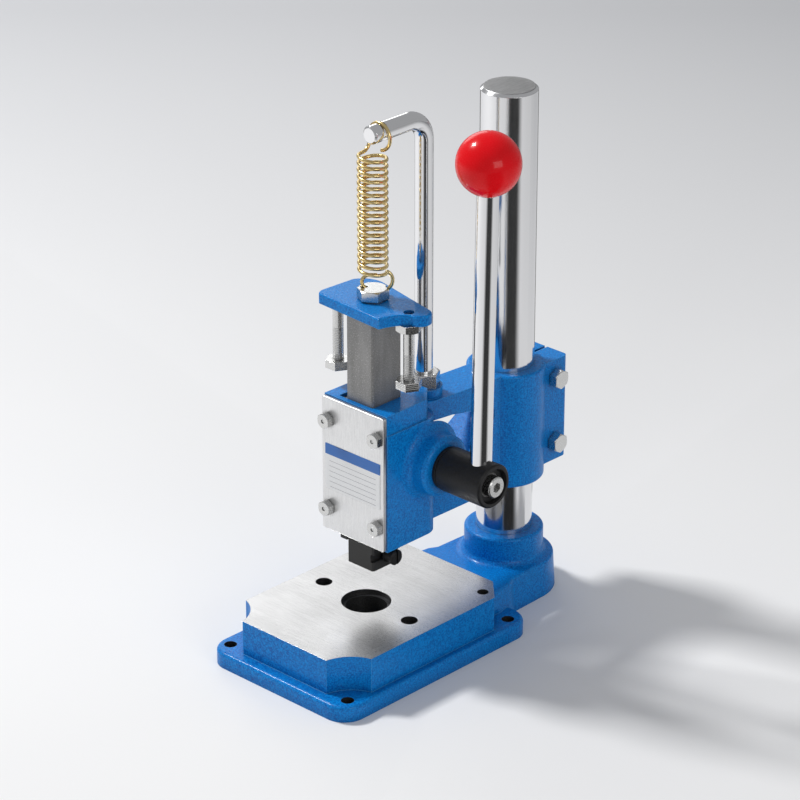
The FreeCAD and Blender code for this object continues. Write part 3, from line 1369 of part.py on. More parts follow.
def make_spring():
    """Extension spring: a bow through the bolt's eye, the coil, and a loop over the
    arm. The wire is straight runs and arcs that meet smoothly."""
    vector = FreeCAD.Vector
    wire = d.spring_wire.value / 2
    coil = d.spring_diameter.value / 2 - wire
    tight = d.spring_tight_bend.value
    bow = d.spring_bow_radius.value
    low = d.spring_bottom.value
    half_turns = 2 * int(d.spring_turns.value) + 1
    rise = (d.spring_top.value - low) / half_turns
    twist = FreeCAD.Rotation(Z_AXIS, d.cap_bolt_turn.value)
    axis = vector(0, ram_axis.value, 0)
    side, lean, end_z, right_u, rising, turning, meet = bow_shape()
    middle_u = bow_offset()
    edges = []

    def spot(across, back, up):
        """A point given about the ram's axis, in the plane that the eye faces."""
        return axis + twist.multVec(vector(across, back, up))

    def turned_arc(centre_u, centre_z, radius, start, end):
        """An arc of the bow's plane between two angles in degrees."""
        places = []
        for angle in (start, (start + end) / 2, end):
            turn = math.radians(angle)
            places.append(spot(centre_u + radius * math.cos(turn), tight,
                               centre_z + radius * math.sin(turn)))
        return Part.Arc(*places).toShape()

    # Bow: a short run under the coil, down, through the eye and up into the coil.
    bow_degrees = math.degrees(side)
    left_u = middle_u - bow * math.sin(side)
    left_centre = (left_u + turning * math.sin(side), end_z + turning * math.cos(side))
    right_centre = (right_u - rising * math.sin(side), end_z + rising * math.cos(side))
    top = spot(left_centre[0], tight, left_centre[1] + turning)
    free_end = spot(left_centre[0] + d.spring_bow_run.value, tight, left_centre[1] + turning)
    edges.append(Part.LineSegment(free_end, top).toShape())
    edges.append(turned_arc(*left_centre, turning, 90, 270 - bow_degrees))
    edges.append(turned_arc(middle_u, bow_centre.value, bow, 270 - bow_degrees,
                            270 + bow_degrees))
    edges.append(turned_arc(*right_centre, rising, bow_degrees - 90, math.degrees(lean)))
    first = spot(coil, 0, low)
    upwards = twist.multVec(vector(-math.sin(lean), 0, math.cos(lean)))
    behind = twist.multVec(Y_AXIS)
    tight_middle = first - upwards * tight + (upwards + behind).normalize() * tight
    edges.append(Part.Arc(spot(meet[0], tight, meet[1]), tight_middle, first).toShape())

    points = []
    for half in range(half_turns + 1):
        sign = 1 if half % 2 == 0 else -1
        points.append(spot(sign * coil, 0, low + rise * half))
    for start, end in zip(points, points[1:]):
        edges.append(half_turn(start, end))

    # The coil's last part turn is level and brings the wire to the left of the ram.
    def coil_end(angle):
        turn = math.radians(180 + angle)
        return axis + vector(coil * math.cos(turn), coil * math.sin(turn), d.spring_top.value)

    last = coil_end(0)
    twist_angle = d.cap_bolt_turn.value
    edges.append(Part.Arc(points[-1], coil_end(twist_angle / 2), last).toShape())

    # Loop: the wire turns up off the coil and passes over the arm's groove.
    hook_y = amount(d.arm_end + d.hook_groove_inset)
    groove_top = amount(d.arm_height + d.arm_diameter / 2 - d.hook_groove_depth)
    reach = hook_y - axis.y
    upright = vector(-coil, hook_y, last.z + reach)
    turn_middle = last + vector(0, reach * math.sin(math.pi / 4), reach * (1 - math.cos(math.pi / 4)))
    edges.append(Part.Arc(last, turn_middle, upright).toShape())
    centre = vector(0, hook_y, groove_top + wire + d.seat_gap.value - coil)
    beside = centre - vector(coil, 0, 0)
    edges.append(Part.LineSegment(upright, beside).toShape())
    closing = math.radians(d.spring_loop_close.value)
    tip = centre + vector(coil * math.cos(closing), 0, -coil * math.sin(closing))
    crest = centre + vector(0, 0, coil)
    edges.append(Part.Arc(beside, crest, tip).toShape())

    path = Part.Wire(edges)
    section = Part.Wire([Part.Circle(free_end, top - free_end, wire).toShape()])
    spring = doc.addObject("Part::Feature", "return_spring")
    spring.Label = "return_spring"
    spring.Shape = Part.Solid(Part.Shell(path.makePipe(Part.Face(section)).Faces))
    return spring


def main():
    made = [make_base(), make_column(), make_column_screw()]
    made += [make_head(), make_cover_plate(), make_name_plate(), make_gib()]
    made += make_bushes() + make_head_fasteners()
    made += [make_ram(), make_tool_screw(), make_pinion_shaft()]
    made += [make_hub(), make_lever(), make_ball()] + make_shaft_fasteners()
    made += [make_crosshead(), make_cap_bolt()] + make_crosshead_fasteners()
    made += [make_spring_arm(), make_arm_nut(), make_spring()]
    return made


pieces = main()
doc.recompute()
for item in doc.Objects:
    if "Invalid" in item.State or "Error" in item.State:
        raise ValueError("%s is not sound: %s" % (item.Name, item.State))
os.makedirs("parts", exist_ok=True)
for piece in pieces:
    shape = piece.Shape
    if shape.isNull() or not shape.isValid():
        raise ValueError(piece.Label + " has no sound shape")
    shape.exportStep("parts/%s.step" % piece.Label)
    print(piece.Label, len(shape.Solids), round(shape.Volume, 1))
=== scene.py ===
import math

import bpy
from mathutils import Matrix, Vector


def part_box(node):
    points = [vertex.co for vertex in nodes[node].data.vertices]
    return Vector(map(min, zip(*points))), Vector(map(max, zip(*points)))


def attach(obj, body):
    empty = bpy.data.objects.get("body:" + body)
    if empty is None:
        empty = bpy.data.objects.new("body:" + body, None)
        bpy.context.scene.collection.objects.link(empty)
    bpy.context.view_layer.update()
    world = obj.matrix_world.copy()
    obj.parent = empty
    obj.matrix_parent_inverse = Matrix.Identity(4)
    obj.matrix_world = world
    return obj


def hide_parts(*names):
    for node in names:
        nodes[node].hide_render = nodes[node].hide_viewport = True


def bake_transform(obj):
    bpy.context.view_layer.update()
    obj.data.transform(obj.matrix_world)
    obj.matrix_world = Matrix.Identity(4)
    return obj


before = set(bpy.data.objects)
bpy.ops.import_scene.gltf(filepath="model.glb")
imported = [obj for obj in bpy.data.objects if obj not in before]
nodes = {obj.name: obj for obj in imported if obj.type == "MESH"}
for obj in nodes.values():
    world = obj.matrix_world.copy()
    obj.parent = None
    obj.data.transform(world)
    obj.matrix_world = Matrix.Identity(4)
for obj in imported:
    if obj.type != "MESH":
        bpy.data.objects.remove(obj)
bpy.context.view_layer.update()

MM = 0.001

# The column, from the frame.
COLUMN_LOW, COLUMN_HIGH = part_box("column")
COLUMN_Y = (COLUMN_LOW[1] + COLUMN_HIGH[1]) / 2
COLUMN_TOP = COLUMN_HIGH[2]
COLUMN_FACE = 0.3 * MM  # depth of the turned face on its top

# The base's ground table, and the neck that joins its pedestal to the column boss.
TABLE_Z = 30.0 * MM
TABLE_REAR = 63.0 * MM
TABLE_SKIN = 0.05 * MM
NECK_START = 70.0 * MM
NECK_FULL = 88.0 * MM
NECK_TOP = 21.5 * MM
NECK_HEIGHT = 21.0 * MM
BOSS_REACH = 23.6 * MM
BOSS_CLEAR = 26.8 * MM
DRAFTED_FOOT = 33.0 * MM
DRAFTED_LEAN = 5.6 * MM
UPRIGHT_FOOT = 29.8 * MM
UPRIGHT_LEAN = 1.2 * MM

# Bored and drilled places of the base: x, y and radius.
SIDES = (-1, 1)
TABLE_MIDDLE_Y = -3.0 * MM
DIE_HOLE_RADIUS = 14.2 * MM
TOOLING_HOLE_X = 33.0 * MM
TOOLING_HOLE_RADIUS = 4.85 * MM
LOCATING_HOLE = (39.5 * MM, 49.5 * MM, 3.4 * MM)
BENCH_HOLE_X = 45.4 * MM
BENCH_HOLE_Y = 64.0 * MM
BENCH_HOLE_RADIUS = 3.65 * MM
HOLES = [(0.0, TABLE_MIDDLE_Y, DIE_HOLE_RADIUS), LOCATING_HOLE]
HOLES += [(side * TOOLING_HOLE_X, TABLE_MIDDLE_Y, TOOLING_HOLE_RADIUS) for side in SIDES]
HOLES += [(side * BENCH_HOLE_X, end * BENCH_HOLE_Y, BENCH_HOLE_RADIUS)
          for side in SIDES for end in SIDES]

# The ram's blackened foot fades out between these heights.
FOOT_TOP = 70.0 * MM
FOOT_FADE = 74.0 * MM

# The stop bolts' thread, from the lowest point of the head.
THREAD_START = 5.0 * MM
THREAD_END = 24.0 * MM
THREAD_RIDGE = 0.5 * MM

# The blank form on the name plate.
BAND_HEIGHT = 6.2 * MM
LINES_START = 8.0 * MM
LINE_PITCH = 3.1 * MM
LINE_HALF_SHARE = 0.045
LINE_REACH = 17.6 * MM

# The camera and the studio, in metres and degrees; the lens is in millimetres.
CAMERA_PLACE = (1.2349, -1.2637, 0.9652)
CAMERA_TILT = 65.27
CAMERA_HEADING = 43.8
CAMERA_LENS = 162.0
LAMP_AIM = (0.0, 0.03, 0.12)
FLOOR_REACH = 6.0
# Painted shade on the floor: darker along this heading between these distances.
SHADE_FALL_HEADING = (-0.69, 0.72)
SHADE_FALL_START = 0.05
SHADE_FALL_END = 1.10
CARD_HEIGHT = 0.0005
CARD_REACH = 1.7


# ---------------------------------------------------------------- camera and light


def add_camera():
    camera = bpy.data.objects.new("camera", bpy.data.cameras.new("camera"))
    camera.data.sensor_width = 36.0
    camera.data.lens = CAMERA_LENS
    camera.data.clip_start = 0.05
    camera.location = CAMERA_PLACE
    camera.rotation_euler = (math.radians(CAMERA_TILT), 0.0, math.radians(CAMERA_HEADING))
    bpy.context.collection.objects.link(camera)
    bpy.context.scene.camera = camera


def add_area(name, place, width, height, power):
    """A rectangular lamp that faces the middle of the object."""
    lamp = bpy.data.lights.new(name, "AREA")
    lamp.shape = "RECTANGLE"
    lamp.size = width
    lamp.size_y = height
    lamp.energy = power
    item = bpy.data.objects.new(name, lamp)
    item.location = place
    direction = Vector(LAMP_AIM) - Vector(place)
    item.rotation_euler = direction.to_track_quat("-Z", "Y").to_euler()
    bpy.context.collection.objects.link(item)


# ---------------------------------------------------------------- node helpers


class Graph:
    """A material's node tree, built by short calls."""

    def __init__(self, name):
        self.material = bpy.data.materials.new(name)
        self.material.use_nodes = True
        self.tree = self.material.node_tree
        self.tree.nodes.clear()
        self.output = self.add("ShaderNodeOutputMaterial")

    def add(self, kind, **settings):
        node = self.tree.nodes.new(kind)
        for key, value in settings.items():
            setattr(node, key, value)
        return node

    def wire(self, source, target):
        self.tree.links.new(source, target)

    def feed(self, socket, value):
        """Sets a socket to a number or colour, or links another socket to it."""
        if isinstance(value, bpy.types.NodeSocket):
            self.wire(value, socket)
        elif isinstance(value, tuple) and len(value) == 3 and socket.type == "RGBA":
            socket.default_value = (*value, 1.0)
        else:
            socket.default_value = value

    def math(self, operation, first, second=0.0, third=0.0):
        node = self.add("ShaderNodeMath", operation=operation)
        for socket, value in zip(node.inputs, (first, second, third)):
            self.feed(socket, value)
        return node.outputs[0]

    def place(self):
        """The point in the row frame, which stays on a piece as it moves."""
        return self.add("ShaderNodeTexCoord").outputs["Object"]

    def split(self, vector):
        node = self.add("ShaderNodeSeparateXYZ")
        self.feed(node.inputs[0], vector)
        return node.outputs

    def stretch(self, scale):
        node = self.add("ShaderNodeMapping")
        self.feed(node.inputs["Vector"], self.place())
        node.inputs["Scale"].default_value = scale
        return node.outputs[0]

    def noise(self, scale, detail=2.0, rough=0.5, vector=None):
        node = self.add("ShaderNodeTexNoise")
        self.feed(node.inputs["Vector"], self.place() if vector is None else vector)
        node.inputs["Scale"].default_value = scale
        node.inputs["Detail"].default_value = detail
        node.inputs["Roughness"].default_value = rough
        return node.outputs["Fac"]

    def ramp(self, value, low, high, start=0.0, end=1.0):
        """Maps low..high to start..end, held at both ends."""
        node = self.add("ShaderNodeMapRange")
        for socket, number in zip(node.inputs, (value, low, high, start, end)):
            self.feed(socket, number)
        return node.outputs[0]

    def mix(self, factor, first, second):
        node = self.add("ShaderNodeMix", data_type="RGBA")
        self.feed(node.inputs["Factor"], factor)
        self.feed(node.inputs["A"], first)
        self.feed(node.inputs["B"], second)
        return node.outputs["Result"]

    def bump(self, height, distance, strength=1.0, normal=None):
        node = self.add("ShaderNodeBump")
        node.inputs["Distance"].default_value = distance
        node.inputs["Strength"].default_value = strength
        self.feed(node.inputs["Height"], height)
        if normal is not None:
            self.feed(node.inputs["Normal"], normal)
        return node.outputs[0]

    def soft_edge(self, radius):
        """Normal of edges rounded to that radius."""
        node = self.add("ShaderNodeBevel", samples=6)
        node.inputs["Radius"].default_value = radius
        return node.outputs[0]

    def edge_mask(self, radius):
        """1 along convex and concave edges within that radius, 0 elsewhere."""
        rounded = self.soft_edge(radius)
        dot = self.add("ShaderNodeVectorMath", operation="DOT_PRODUCT")
        self.feed(dot.inputs[0], rounded)
        self.feed(dot.inputs[1], self.add("ShaderNodeNewGeometry").outputs["True Normal"])
        return self.ramp(dot.outputs["Value"], 0.98, 0.80)

    def painted_corner_shade(self, distance, depth):
        """Painted shade from ambient occlusion: 1 in the open, down to 1 - depth in corners and
        against neighbours.
        """
        node = self.add("ShaderNodeAmbientOcclusion", samples=6)
        node.inputs["Distance"].default_value = distance
        return self.ramp(node.outputs["AO"], 0.25, 0.85, 1.0 - depth, 1.0)

    def surface(self, **sockets):
        shader = self.add("ShaderNodeBsdfPrincipled")
        for name, value in sockets.items():
            self.feed(shader.inputs[name.replace("_", " ")], value)
        return shader.outputs[0]

    def finish(self, shader):
        self.wire(shader, self.output.inputs["Surface"])
        return self.material


# ---------------------------------------------------------------- materials


def steel_surface(graph, direction, tone, rough, cloudiness=0.05):
    """Ground steel: fine lines along one direction, with slow cloudy variation and painted shade
    in its corners.
    """
    stretched = graph.stretch(direction)
    fine = graph.noise(2600.0, 3.0, 0.65, stretched)
    streak = graph.noise(312.0, 3.0, 0.6, stretched)
    cloud = graph.noise(28.0, 3.0)
    value = graph.ramp(fine, 0.3, 0.7, tone - 0.10, tone + 0.08)
    value = graph.math("ADD", value, graph.ramp(streak, 0.3, 0.7, -0.06, 0.05))
    value = graph.math("ADD", value, graph.ramp(cloud, 0.3, 0.7, -cloudiness, cloudiness))
    # Painted shade: darker in corners and against neighbours.
    value = graph.math("MULTIPLY", value, graph.painted_corner_shade(3.0 * MM, 0.6))
    colour = graph.add("ShaderNodeCombineColor")
    for socket in colour.inputs:
        graph.feed(socket, value)
    roughness = graph.ramp(fine, 0.3, 0.7, rough - 0.06, rough + 0.08)
    normal = graph.bump(fine, 0.00002, 0.6, graph.soft_edge(0.25 * MM))
    return graph.surface(Base_Color=colour.outputs[0], Metallic=1.0, Roughness=roughness,
                         Normal=normal)


def paint_surface(graph):
    """Hammered blue enamel over a cast skin, with painted shade darkening its corners and a
    painted highlight paling its edges.
    """
    light = (0.0030, 0.275, 0.740)
    dark = (0.0008, 0.100, 0.400)
    grain = graph.noise(1100.0, 3.0, 0.6)
    skin = graph.noise(420.0, 2.0, 0.5)
    cloud = graph.noise(22.0, 2.0)
    colour = graph.mix(graph.ramp(grain, 0.36, 0.66), dark, light)
    colour = graph.mix(graph.ramp(cloud, 0.35, 0.7, 0.0, 0.25), colour, (0.004, 0.25, 0.69))
    # Painted shade: dark navy in corners and against neighbours.
    colour = graph.mix(graph.painted_corner_shade(9.0 * MM, 0.62), (0.0006, 0.030, 0.160), colour)
    # Painted highlight: a thin pale blue line along the edges.
    colour = graph.mix(graph.math("MULTIPLY", graph.edge_mask(0.45 * MM), 0.75), colour,
                       (0.14, 0.52, 0.92))
    height = graph.math("ADD", graph.math("MULTIPLY", grain, 0.5), skin)
    normal = graph.bump(height, 0.00034, 0.60, graph.soft_edge(0.7 * MM))
    roughness = graph.ramp(grain, 0.3, 0.7, 0.34, 0.46)
    return graph.surface(Base_Color=colour, Roughness=roughness, Normal=normal,
                         Coat_Weight=0.16, Coat_Roughness=0.13, Specular_IOR_Level=0.12)


def blue_paint():
    graph = Graph("blue_paint")
    return graph.finish(paint_surface(graph))


def inside_holes(graph, x, y, z):
    """1 in the bored and drilled places of the base, below the table."""
    total = 0.0
    for place_x, place_y, radius in HOLES:
        across = graph.math("SUBTRACT", x, place_x)
        along = graph.math("SUBTRACT", y, place_y)
        reach = graph.math("MULTIPLY_ADD", along, along, graph.math("MULTIPLY", across, across))
        total = graph.math("MAXIMUM", graph.math("LESS_THAN", reach, radius ** 2), total)
    return graph.math("MULTIPLY", total, graph.math("LESS_THAN", z, TABLE_Z - TABLE_SKIN))


def blend_shaders(graph, factor, first, second):
    node = graph.add("ShaderNodeMixShader")
    graph.feed(node.inputs[0], factor)
    graph.wire(first, node.inputs[1])
    graph.wire(second, node.inputs[2])
    return node.outputs[0]


def base_finish():
    """Painted casting whose table and holes are machined steel left unpainted; inside the holes
    that steel is near black, painted shade of their depth.
    """
    graph = Graph("base_finish")
    paint = paint_surface(graph)
    steel = steel_surface(graph, (0.22, 4.0, 1.0), 0.60, 0.29, cloudiness=0.06)
    # Painted shade: the holes' machined steel is made near black for their depth.
    grain = graph.noise(1500.0, 3.0, 0.6)
    tone = graph.mix(graph.ramp(grain, 0.3, 0.7), (0.050, 0.050, 0.052), (0.12, 0.12, 0.12))
    shaded_bare_steel = graph.surface(Base_Color=tone, Metallic=0.8, Roughness=0.42,
                         Normal=graph.bump(grain, 0.00003, 0.5))
    x, y, z = graph.split(graph.place())
    top = graph.math("GREATER_THAN", z, TABLE_Z - TABLE_SKIN)
    top = graph.math("MULTIPLY", top, graph.math("LESS_THAN", y, TABLE_REAR))
    shader = blend_shaders(graph, top, paint, steel)
    return graph.finish(blend_shaders(graph, inside_holes(graph, x, y, z), shader, shaded_bare_steel))


def chrome(name, rough, tone, end=None):
    """Polished plating with faint lengthwise marks; above the height end it is turned steel."""
    graph = Graph(name)
    stretched = graph.stretch((1.0, 1.0, 0.04))
    fine = graph.noise(2200.0, 2.0, 0.6, stretched)
    marks = graph.noise(60.0, 3.0)
    roughness = graph.math("ADD", graph.ramp(fine, 0.3, 0.7, rough - 0.03, rough + 0.04),
                           graph.ramp(marks, 0.4, 0.7, 0.0, 0.03))
    normal = graph.bump(fine, 0.000004, 0.5, graph.soft_edge(0.3 * MM))
    shader = graph.surface(Base_Color=(tone, tone, tone * 1.01), Metallic=1.0,
                           Roughness=roughness, Normal=normal)
    if end is not None:
        face = steel_surface(graph, (3.0, 0.4, 1.0), 0.42, 0.36)
        x, y, z = graph.split(graph.place())
        shader = blend_shaders(graph, graph.math("GREATER_THAN", z, end), shader, face)
    return graph.finish(shader)


def ground_steel():
    graph = Graph("ground_steel")
    return graph.finish(steel_surface(graph, (4.0, 1.0, 0.25), 0.76, 0.34))


def blasted_steel():
    """Scaled ram steel, darker at its foot, with painted shade in its corners."""
    graph = Graph("blasted_steel")
    grain = graph.noise(1600.0, 3.0, 0.7)
    speck = graph.noise(1300.0, 3.0, 0.7)
    streaks = graph.noise(120.0, 2.0, 0.5, graph.stretch((1.0, 1.0, 0.15)))
    colour = graph.mix(graph.ramp(grain, 0.3, 0.7), (0.17, 0.168, 0.163), (0.30, 0.296, 0.29))
    colour = graph.mix(graph.ramp(streaks, 0.4, 0.7, 0.0, 0.4), colour, (0.44, 0.435, 0.43))
    colour = graph.mix(graph.ramp(speck, 0.56, 0.70, 0.0, 0.55), colour, (0.70, 0.69, 0.67))
    # Painted shade: near black in corners and against neighbours.
    colour = graph.mix(graph.painted_corner_shade(3.0 * MM, 0.6), (0.03, 0.03, 0.03), colour)
    x, y, z = graph.split(graph.place())
    colour = graph.mix(graph.ramp(z, FOOT_TOP, FOOT_FADE), (0.050, 0.049, 0.048), colour)
    normal = graph.bump(grain, 0.00006, 0.7, graph.soft_edge(0.3 * MM))
    return graph.finish(graph.surface(
        Base_Color=colour, Metallic=0.6, Roughness=graph.ramp(grain, 0.3, 0.7, 0.44, 0.60),
        Normal=normal))


def black_steel():
    graph = Graph("black_steel")
    grain = graph.noise(900.0, 3.0, 0.6)
    colour = graph.mix(graph.ramp(grain, 0.3, 0.7), (0.006, 0.006, 0.0065), (0.016, 0.016, 0.017))
    # Painted highlight: paler grey along the edges.
    colour = graph.mix(graph.math("MULTIPLY", graph.edge_mask(0.35 * MM), 0.4), colour,
                       (0.10, 0.10, 0.10))
    normal = graph.bump(grain, 0.00005, 0.6, graph.soft_edge(0.4 * MM))
    return graph.finish(graph.surface(
        Base_Color=colour, Roughness=graph.ramp(grain, 0.3, 0.7, 0.40, 0.52), Normal=normal,
        Specular_IOR_Level=0.30))


def zinc_plate(name="zinc_plate", thread=None):
    """Bright plated steel with painted shade in its corners; the two heights of thread, if given,
    bound a ridged length whose grooves are darkened as painted shade.
    """
    graph = Graph(name)
    grain = graph.noise(1400.0, 2.0, 0.6)
    colour = graph.mix(graph.ramp(grain, 0.3, 0.7), (0.60, 0.60, 0.59), (0.70, 0.70, 0.69))
    # Painted shade: near black in corners and against neighbours.
    colour = graph.mix(graph.painted_corner_shade(2.5 * MM, 0.75), (0.05, 0.05, 0.05), colour)
    normal = graph.bump(grain, 0.00001, 0.3, graph.soft_edge(0.35 * MM))
    if thread is not None:
        low, high = thread
        x, y, z = graph.split(graph.place())
        inside = graph.math("MULTIPLY", graph.math("GREATER_THAN", z, low),
                            graph.math("LESS_THAN", z, high))
        ridge = graph.math("PINGPONG", graph.math("DIVIDE", z, THREAD_RIDGE), 1.0)
        ridge = graph.math("MULTIPLY", ridge, inside)
        normal = graph.bump(ridge, 0.00012, 0.8, normal)
        # Painted shade: the thread's grooves darker than its ridges.
        colour = graph.mix(graph.math("MULTIPLY", graph.math("SUBTRACT", inside, ridge), 0.25),
                           colour, (0.10, 0.10, 0.10))
    return graph.finish(graph.surface(
        Base_Color=colour, Metallic=1.0, Roughness=graph.ramp(grain, 0.3, 0.7, 0.20, 0.32),
        Normal=normal))


def bronze():
    graph = Graph("bronze")
    grain = graph.noise(1200.0, 2.0, 0.6)
    colour = graph.mix(graph.ramp(grain, 0.3, 0.7), (0.42, 0.25, 0.10), (0.56, 0.36, 0.16))
    return graph.finish(graph.surface(
        Base_Color=colour, Metallic=1.0, Roughness=0.38, Normal=graph.bump(grain, 0.00002)))


def spring_wire():
    """Yellow-passivated wire with streaks along its drawing marks."""
    graph = Graph("spring_wire")
    streak = graph.noise(700.0, 3.0, 0.6)
    cloud = graph.noise(90.0, 2.0)
    colour = graph.mix(graph.ramp(cloud, 0.3, 0.7), (0.70, 0.50, 0.19), (0.86, 0.70, 0.36))
    colour = graph.mix(graph.ramp(streak, 0.45, 0.75, 0.0, 0.35), colour, (0.40, 0.25, 0.08))
    return graph.finish(graph.surface(
        Base_Color=colour, Metallic=1.0, Roughness=graph.ramp(streak, 0.3, 0.7, 0.20, 0.32),
        Normal=graph.bump(streak, 0.00001, 0.4)))


def red_plastic():
    graph = Graph("red_plastic")
    mottle = graph.noise(70.0, 2.0)
    fine = graph.noise(1800.0, 2.0)
    colour = graph.mix(graph.ramp(mottle, 0.3, 0.7), (0.72, 0.0012, 0.005), (0.80, 0.0022, 0.008))
    return graph.finish(graph.surface(
        Base_Color=colour, Roughness=graph.ramp(fine, 0.3, 0.7, 0.22, 0.30),
        Normal=graph.bump(fine, 0.000004, 0.4), Coat_Weight=0.28, Coat_Roughness=0.07,
        Specular_IOR_Level=0.10,
        Subsurface_Weight=0.04, Subsurface_Radius=(0.004, 0.001, 0.001), Subsurface_Scale=1.0))


def printed_label():
    """Blank form: white film, a plain blue band along the top and grey ruled lines."""
    graph = Graph("printed_label")
    x, y, z = graph.split(graph.place())
    fibre = graph.noise(900.0, 2.0)
    colour = graph.mix(graph.ramp(fibre, 0.3, 0.7), (0.80, 0.81, 0.82), (0.86, 0.865, 0.87))
    low, high = (corner[2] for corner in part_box("name_plate"))
    band = graph.math("GREATER_THAN", z, high - BAND_HEIGHT)
    colour = graph.mix(band, colour, (0.008, 0.13, 0.46))
    phase = graph.math("FRACT", graph.math("DIVIDE", graph.math("SUBTRACT", z, low), LINE_PITCH))
    off_middle = graph.math("ABSOLUTE", graph.math("SUBTRACT", phase, 0.5))
    line = graph.math("LESS_THAN", off_middle, LINE_HALF_SHARE)
    inside = graph.math("LESS_THAN", graph.math("ABSOLUTE", x), LINE_REACH)
    line = graph.math("MULTIPLY", line, inside)
    under = graph.math("LESS_THAN", z, high - LINES_START)
    line = graph.math("MULTIPLY", line, under)
    colour = graph.mix(graph.math("MULTIPLY", line, 0.75), colour, (0.16, 0.17, 0.19))
    return graph.finish(graph.surface(
        Base_Color=colour, Roughness=graph.ramp(fibre, 0.3, 0.7, 0.30, 0.40),
        Normal=graph.bump(fibre, 0.00001, 0.4), Coat_Weight=0.3, Coat_Roughness=0.2))


# ---------------------------------------------------------------- floor and backdrop


def add_floor():
    """Pale sweep whose tone falls away slowly towards the back: painted shade standing for light
    falling off.
    """
    mesh = bpy.data.meshes.new("floor")
    corners = [(-1, -1), (1, -1), (1, 1), (-1, 1)]
    mesh.from_pydata([(x * FLOOR_REACH, y * FLOOR_REACH, 0) for x, y in corners], [],
                     [(0, 1, 2, 3)])
    floor = bpy.data.objects.new("floor", mesh)
    bpy.context.collection.objects.link(floor)
    graph = Graph("floor_painted_falloff")
    x, y, z = graph.split(graph.place())
    soft = graph.noise(3.0, 2.0)
    colour = graph.mix(graph.ramp(soft, 0.3, 0.7), (0.845, 0.845, 0.85), (0.865, 0.865, 0.865))
    across, along = SHADE_FALL_HEADING
    back = graph.math("MULTIPLY_ADD", y, along, graph.math("MULTIPLY", x, across))
    # Painted shade: the floor darkens towards the back as if the light fell off.
    colour = graph.mix(graph.ramp(back, SHADE_FALL_START, SHADE_FALL_END), colour, (0.52, 0.525, 0.54))
    mesh.materials.append(graph.finish(graph.surface(
        Base_Color=colour, Roughness=0.6, Specular_IOR_Level=0.2)))


def add_flag(name, start, end, inner):
    """Black card lying round the column between two headings, which only reflections see."""
    steps = 24
    rim = []
    for radius in (inner, CARD_REACH):
        for step in range(steps + 1):
            angle = math.radians(start + (end - start) * step / steps)
            rim.append((radius * math.cos(angle), COLUMN_Y + radius * math.sin(angle),
                        CARD_HEIGHT))
    faces = [(i, steps + 1 + i, steps + 2 + i, i + 1) for i in range(steps)]
    mesh = bpy.data.meshes.new(name)
    mesh.from_pydata(rim, [], faces)
    card = bpy.data.objects.new(name, mesh)
    bpy.context.collection.objects.link(card)
    graph = Graph(name + "_cloth")
    weave = graph.noise(400.0, 2.0)
    x, y, z = graph.split(graph.place())
    heading = graph.math("ARCTAN2", graph.math("SUBTRACT", y, COLUMN_Y), x)
    middle, half = math.radians(start + end) / 2, math.radians(end - start) / 2
    aside = graph.math("ABSOLUTE", graph.math("SUBTRACT", heading, middle))
    fade = graph.ramp(aside, half * 0.5, half, 0.0, 1.0)
    tone = graph.mix(weave, (0.006, 0.006, 0.006), (0.012, 0.012, 0.012))
    tone = graph.mix(fade, tone, (0.80, 0.80, 0.80))
    mesh.materials.append(graph.finish(graph.surface(Base_Color=tone, Roughness=0.9)))
    card.visible_camera = False
    card.visible_diffuse = False
    card.visible_shadow = False
    card.visible_transmission = False


def add_world():
    world = bpy.data.worlds.new("studio")
    bpy.context.scene.world = world
    world.use_nodes = True
    tree = world.node_tree
    tree.nodes.clear()
    output = tree.nodes.new("ShaderNodeOutputWorld")
    background = tree.nodes.new("ShaderNodeBackground")
    background.inputs["Color"].default_value = (0.87, 0.88, 0.90, 1.0)
    background.inputs["Strength"].default_value = 0.42
    tree.links.new(background.outputs[0], output.inputs[0])


# ---------------------------------------------------------------- the object


def assign(material, *names):
    for name in names:
        mesh = nodes[name].data
        mesh.materials.clear()
        mesh.materials.append(material)


def smooth(value, low, high):
    share = min(max((value - low) / (high - low), 0.0), 1.0)
    return share * share * (3.0 - 2.0 * share)


def stand_in(name, node, material):
    """A new piece with a copy of a node's mesh, which stands for that node."""
    mesh = nodes[node].data.copy()
    mesh.materials.clear()
    mesh.materials.append(material)
    piece = bpy.data.objects.new(name, mesh)
    bpy.context.collection.objects.link(piece)
    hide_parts(node)
    return piece


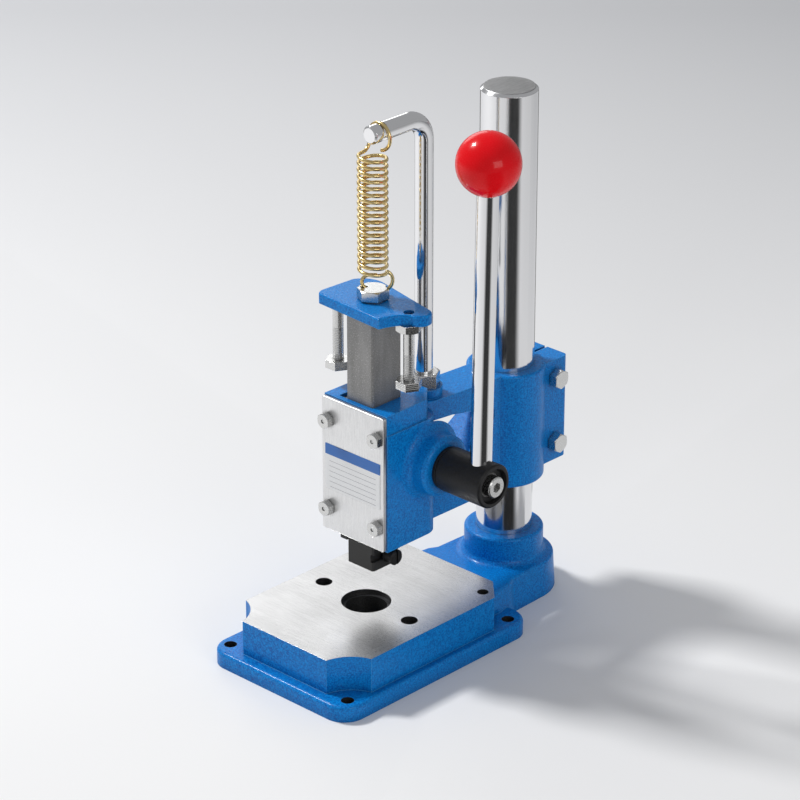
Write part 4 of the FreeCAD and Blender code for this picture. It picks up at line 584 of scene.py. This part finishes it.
def upright_neck():
    """The base with its neck's drafted walls brought nearly upright, as the cast one has them."""
    piece = stand_in("base_body", "base_casting", base_finish())
    for vertex in piece.data.vertices:
        x, y, z = vertex.co
        reach = math.hypot(x, y - COLUMN_Y)
        if y < NECK_START or z > NECK_TOP:
            continue
        drafted = DRAFTED_FOOT - DRAFTED_LEAN / NECK_HEIGHT * z
        upright = UPRIGHT_FOOT - UPRIGHT_LEAN / NECK_HEIGHT * z
        weight = smooth(y, NECK_START, NECK_FULL) * smooth(reach, BOSS_REACH, BOSS_CLEAR)
        scale = 1.0 + (upright / drafted - 1.0) * weight
        vertex.co.x = x * scale
        if y > COLUMN_Y:
            vertex.co.y = COLUMN_Y + (y - COLUMN_Y) * scale
    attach(piece, "base")


def stretching_spring():
    """The return spring, as a copy of the node's mesh fixed where it stands."""
    piece = stand_in("spring_coil", "return_spring", spring_wire())
    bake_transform(piece)


def dress():
    assign(blue_paint(), "head_casting", "ram_crosshead")
    assign(chrome("column_chrome", 0.11, 0.80, COLUMN_TOP - COLUMN_FACE), "column")
    assign(chrome("lever_chrome", 0.08, 0.82), "lever_rod", "spring_arm")
    assign(ground_steel(), "front_cover_plate")
    assign(printed_label(), "name_plate")
    assign(blasted_steel(), "ram", "gib_strip", "pinion_shaft")
    assign(bronze(), "right_bush", "left_bush")
    assign(zinc_plate(), "cover_screws", "clamp_bolts", "clamp_nuts", "gib_screws",
           "gib_lock_nuts", "crosshead_bolt", "crosshead_washer", "stop_lock_nuts",
           "spring_arm_nut", "hub_end_screw", "shaft_retaining_washer",
           "shaft_retaining_screw")
    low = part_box("left_stop_bolt")[0][2]
    assign(zinc_plate("threaded_zinc", (low + THREAD_START, low + THREAD_END)),
           "left_stop_bolt", "right_stop_bolt")
    assign(black_steel(), "lever_hub", "tool_clamp_screw", "thrust_washer", "column_set_screw")
    assign(red_plastic(), "ball_knob")


bpy.context.scene.view_settings.view_transform = "Standard"
add_camera()
add_floor()
add_flag("flag_front", -62.0, 4.0, 0.075)
add_flag("flag_rear", 100.0, 168.0, 0.12)
add_world()
dress()
upright_neck()
stretching_spring()
# The key is high, in front and to the left, so the shadow falls back to the right.
add_area("key", (-1.59, -0.47, 2.11), 0.42, 0.42, 52.0)
# Two broad, weaker lamps: low behind on the left for what faces up, and on the right.
add_area("rear_sheen", (-1.25, 0.80, 0.66), 0.8, 0.6, 2.6)
add_area("right_fill", (1.60, -0.35, 0.75), 0.9, 0.6, 5.0)
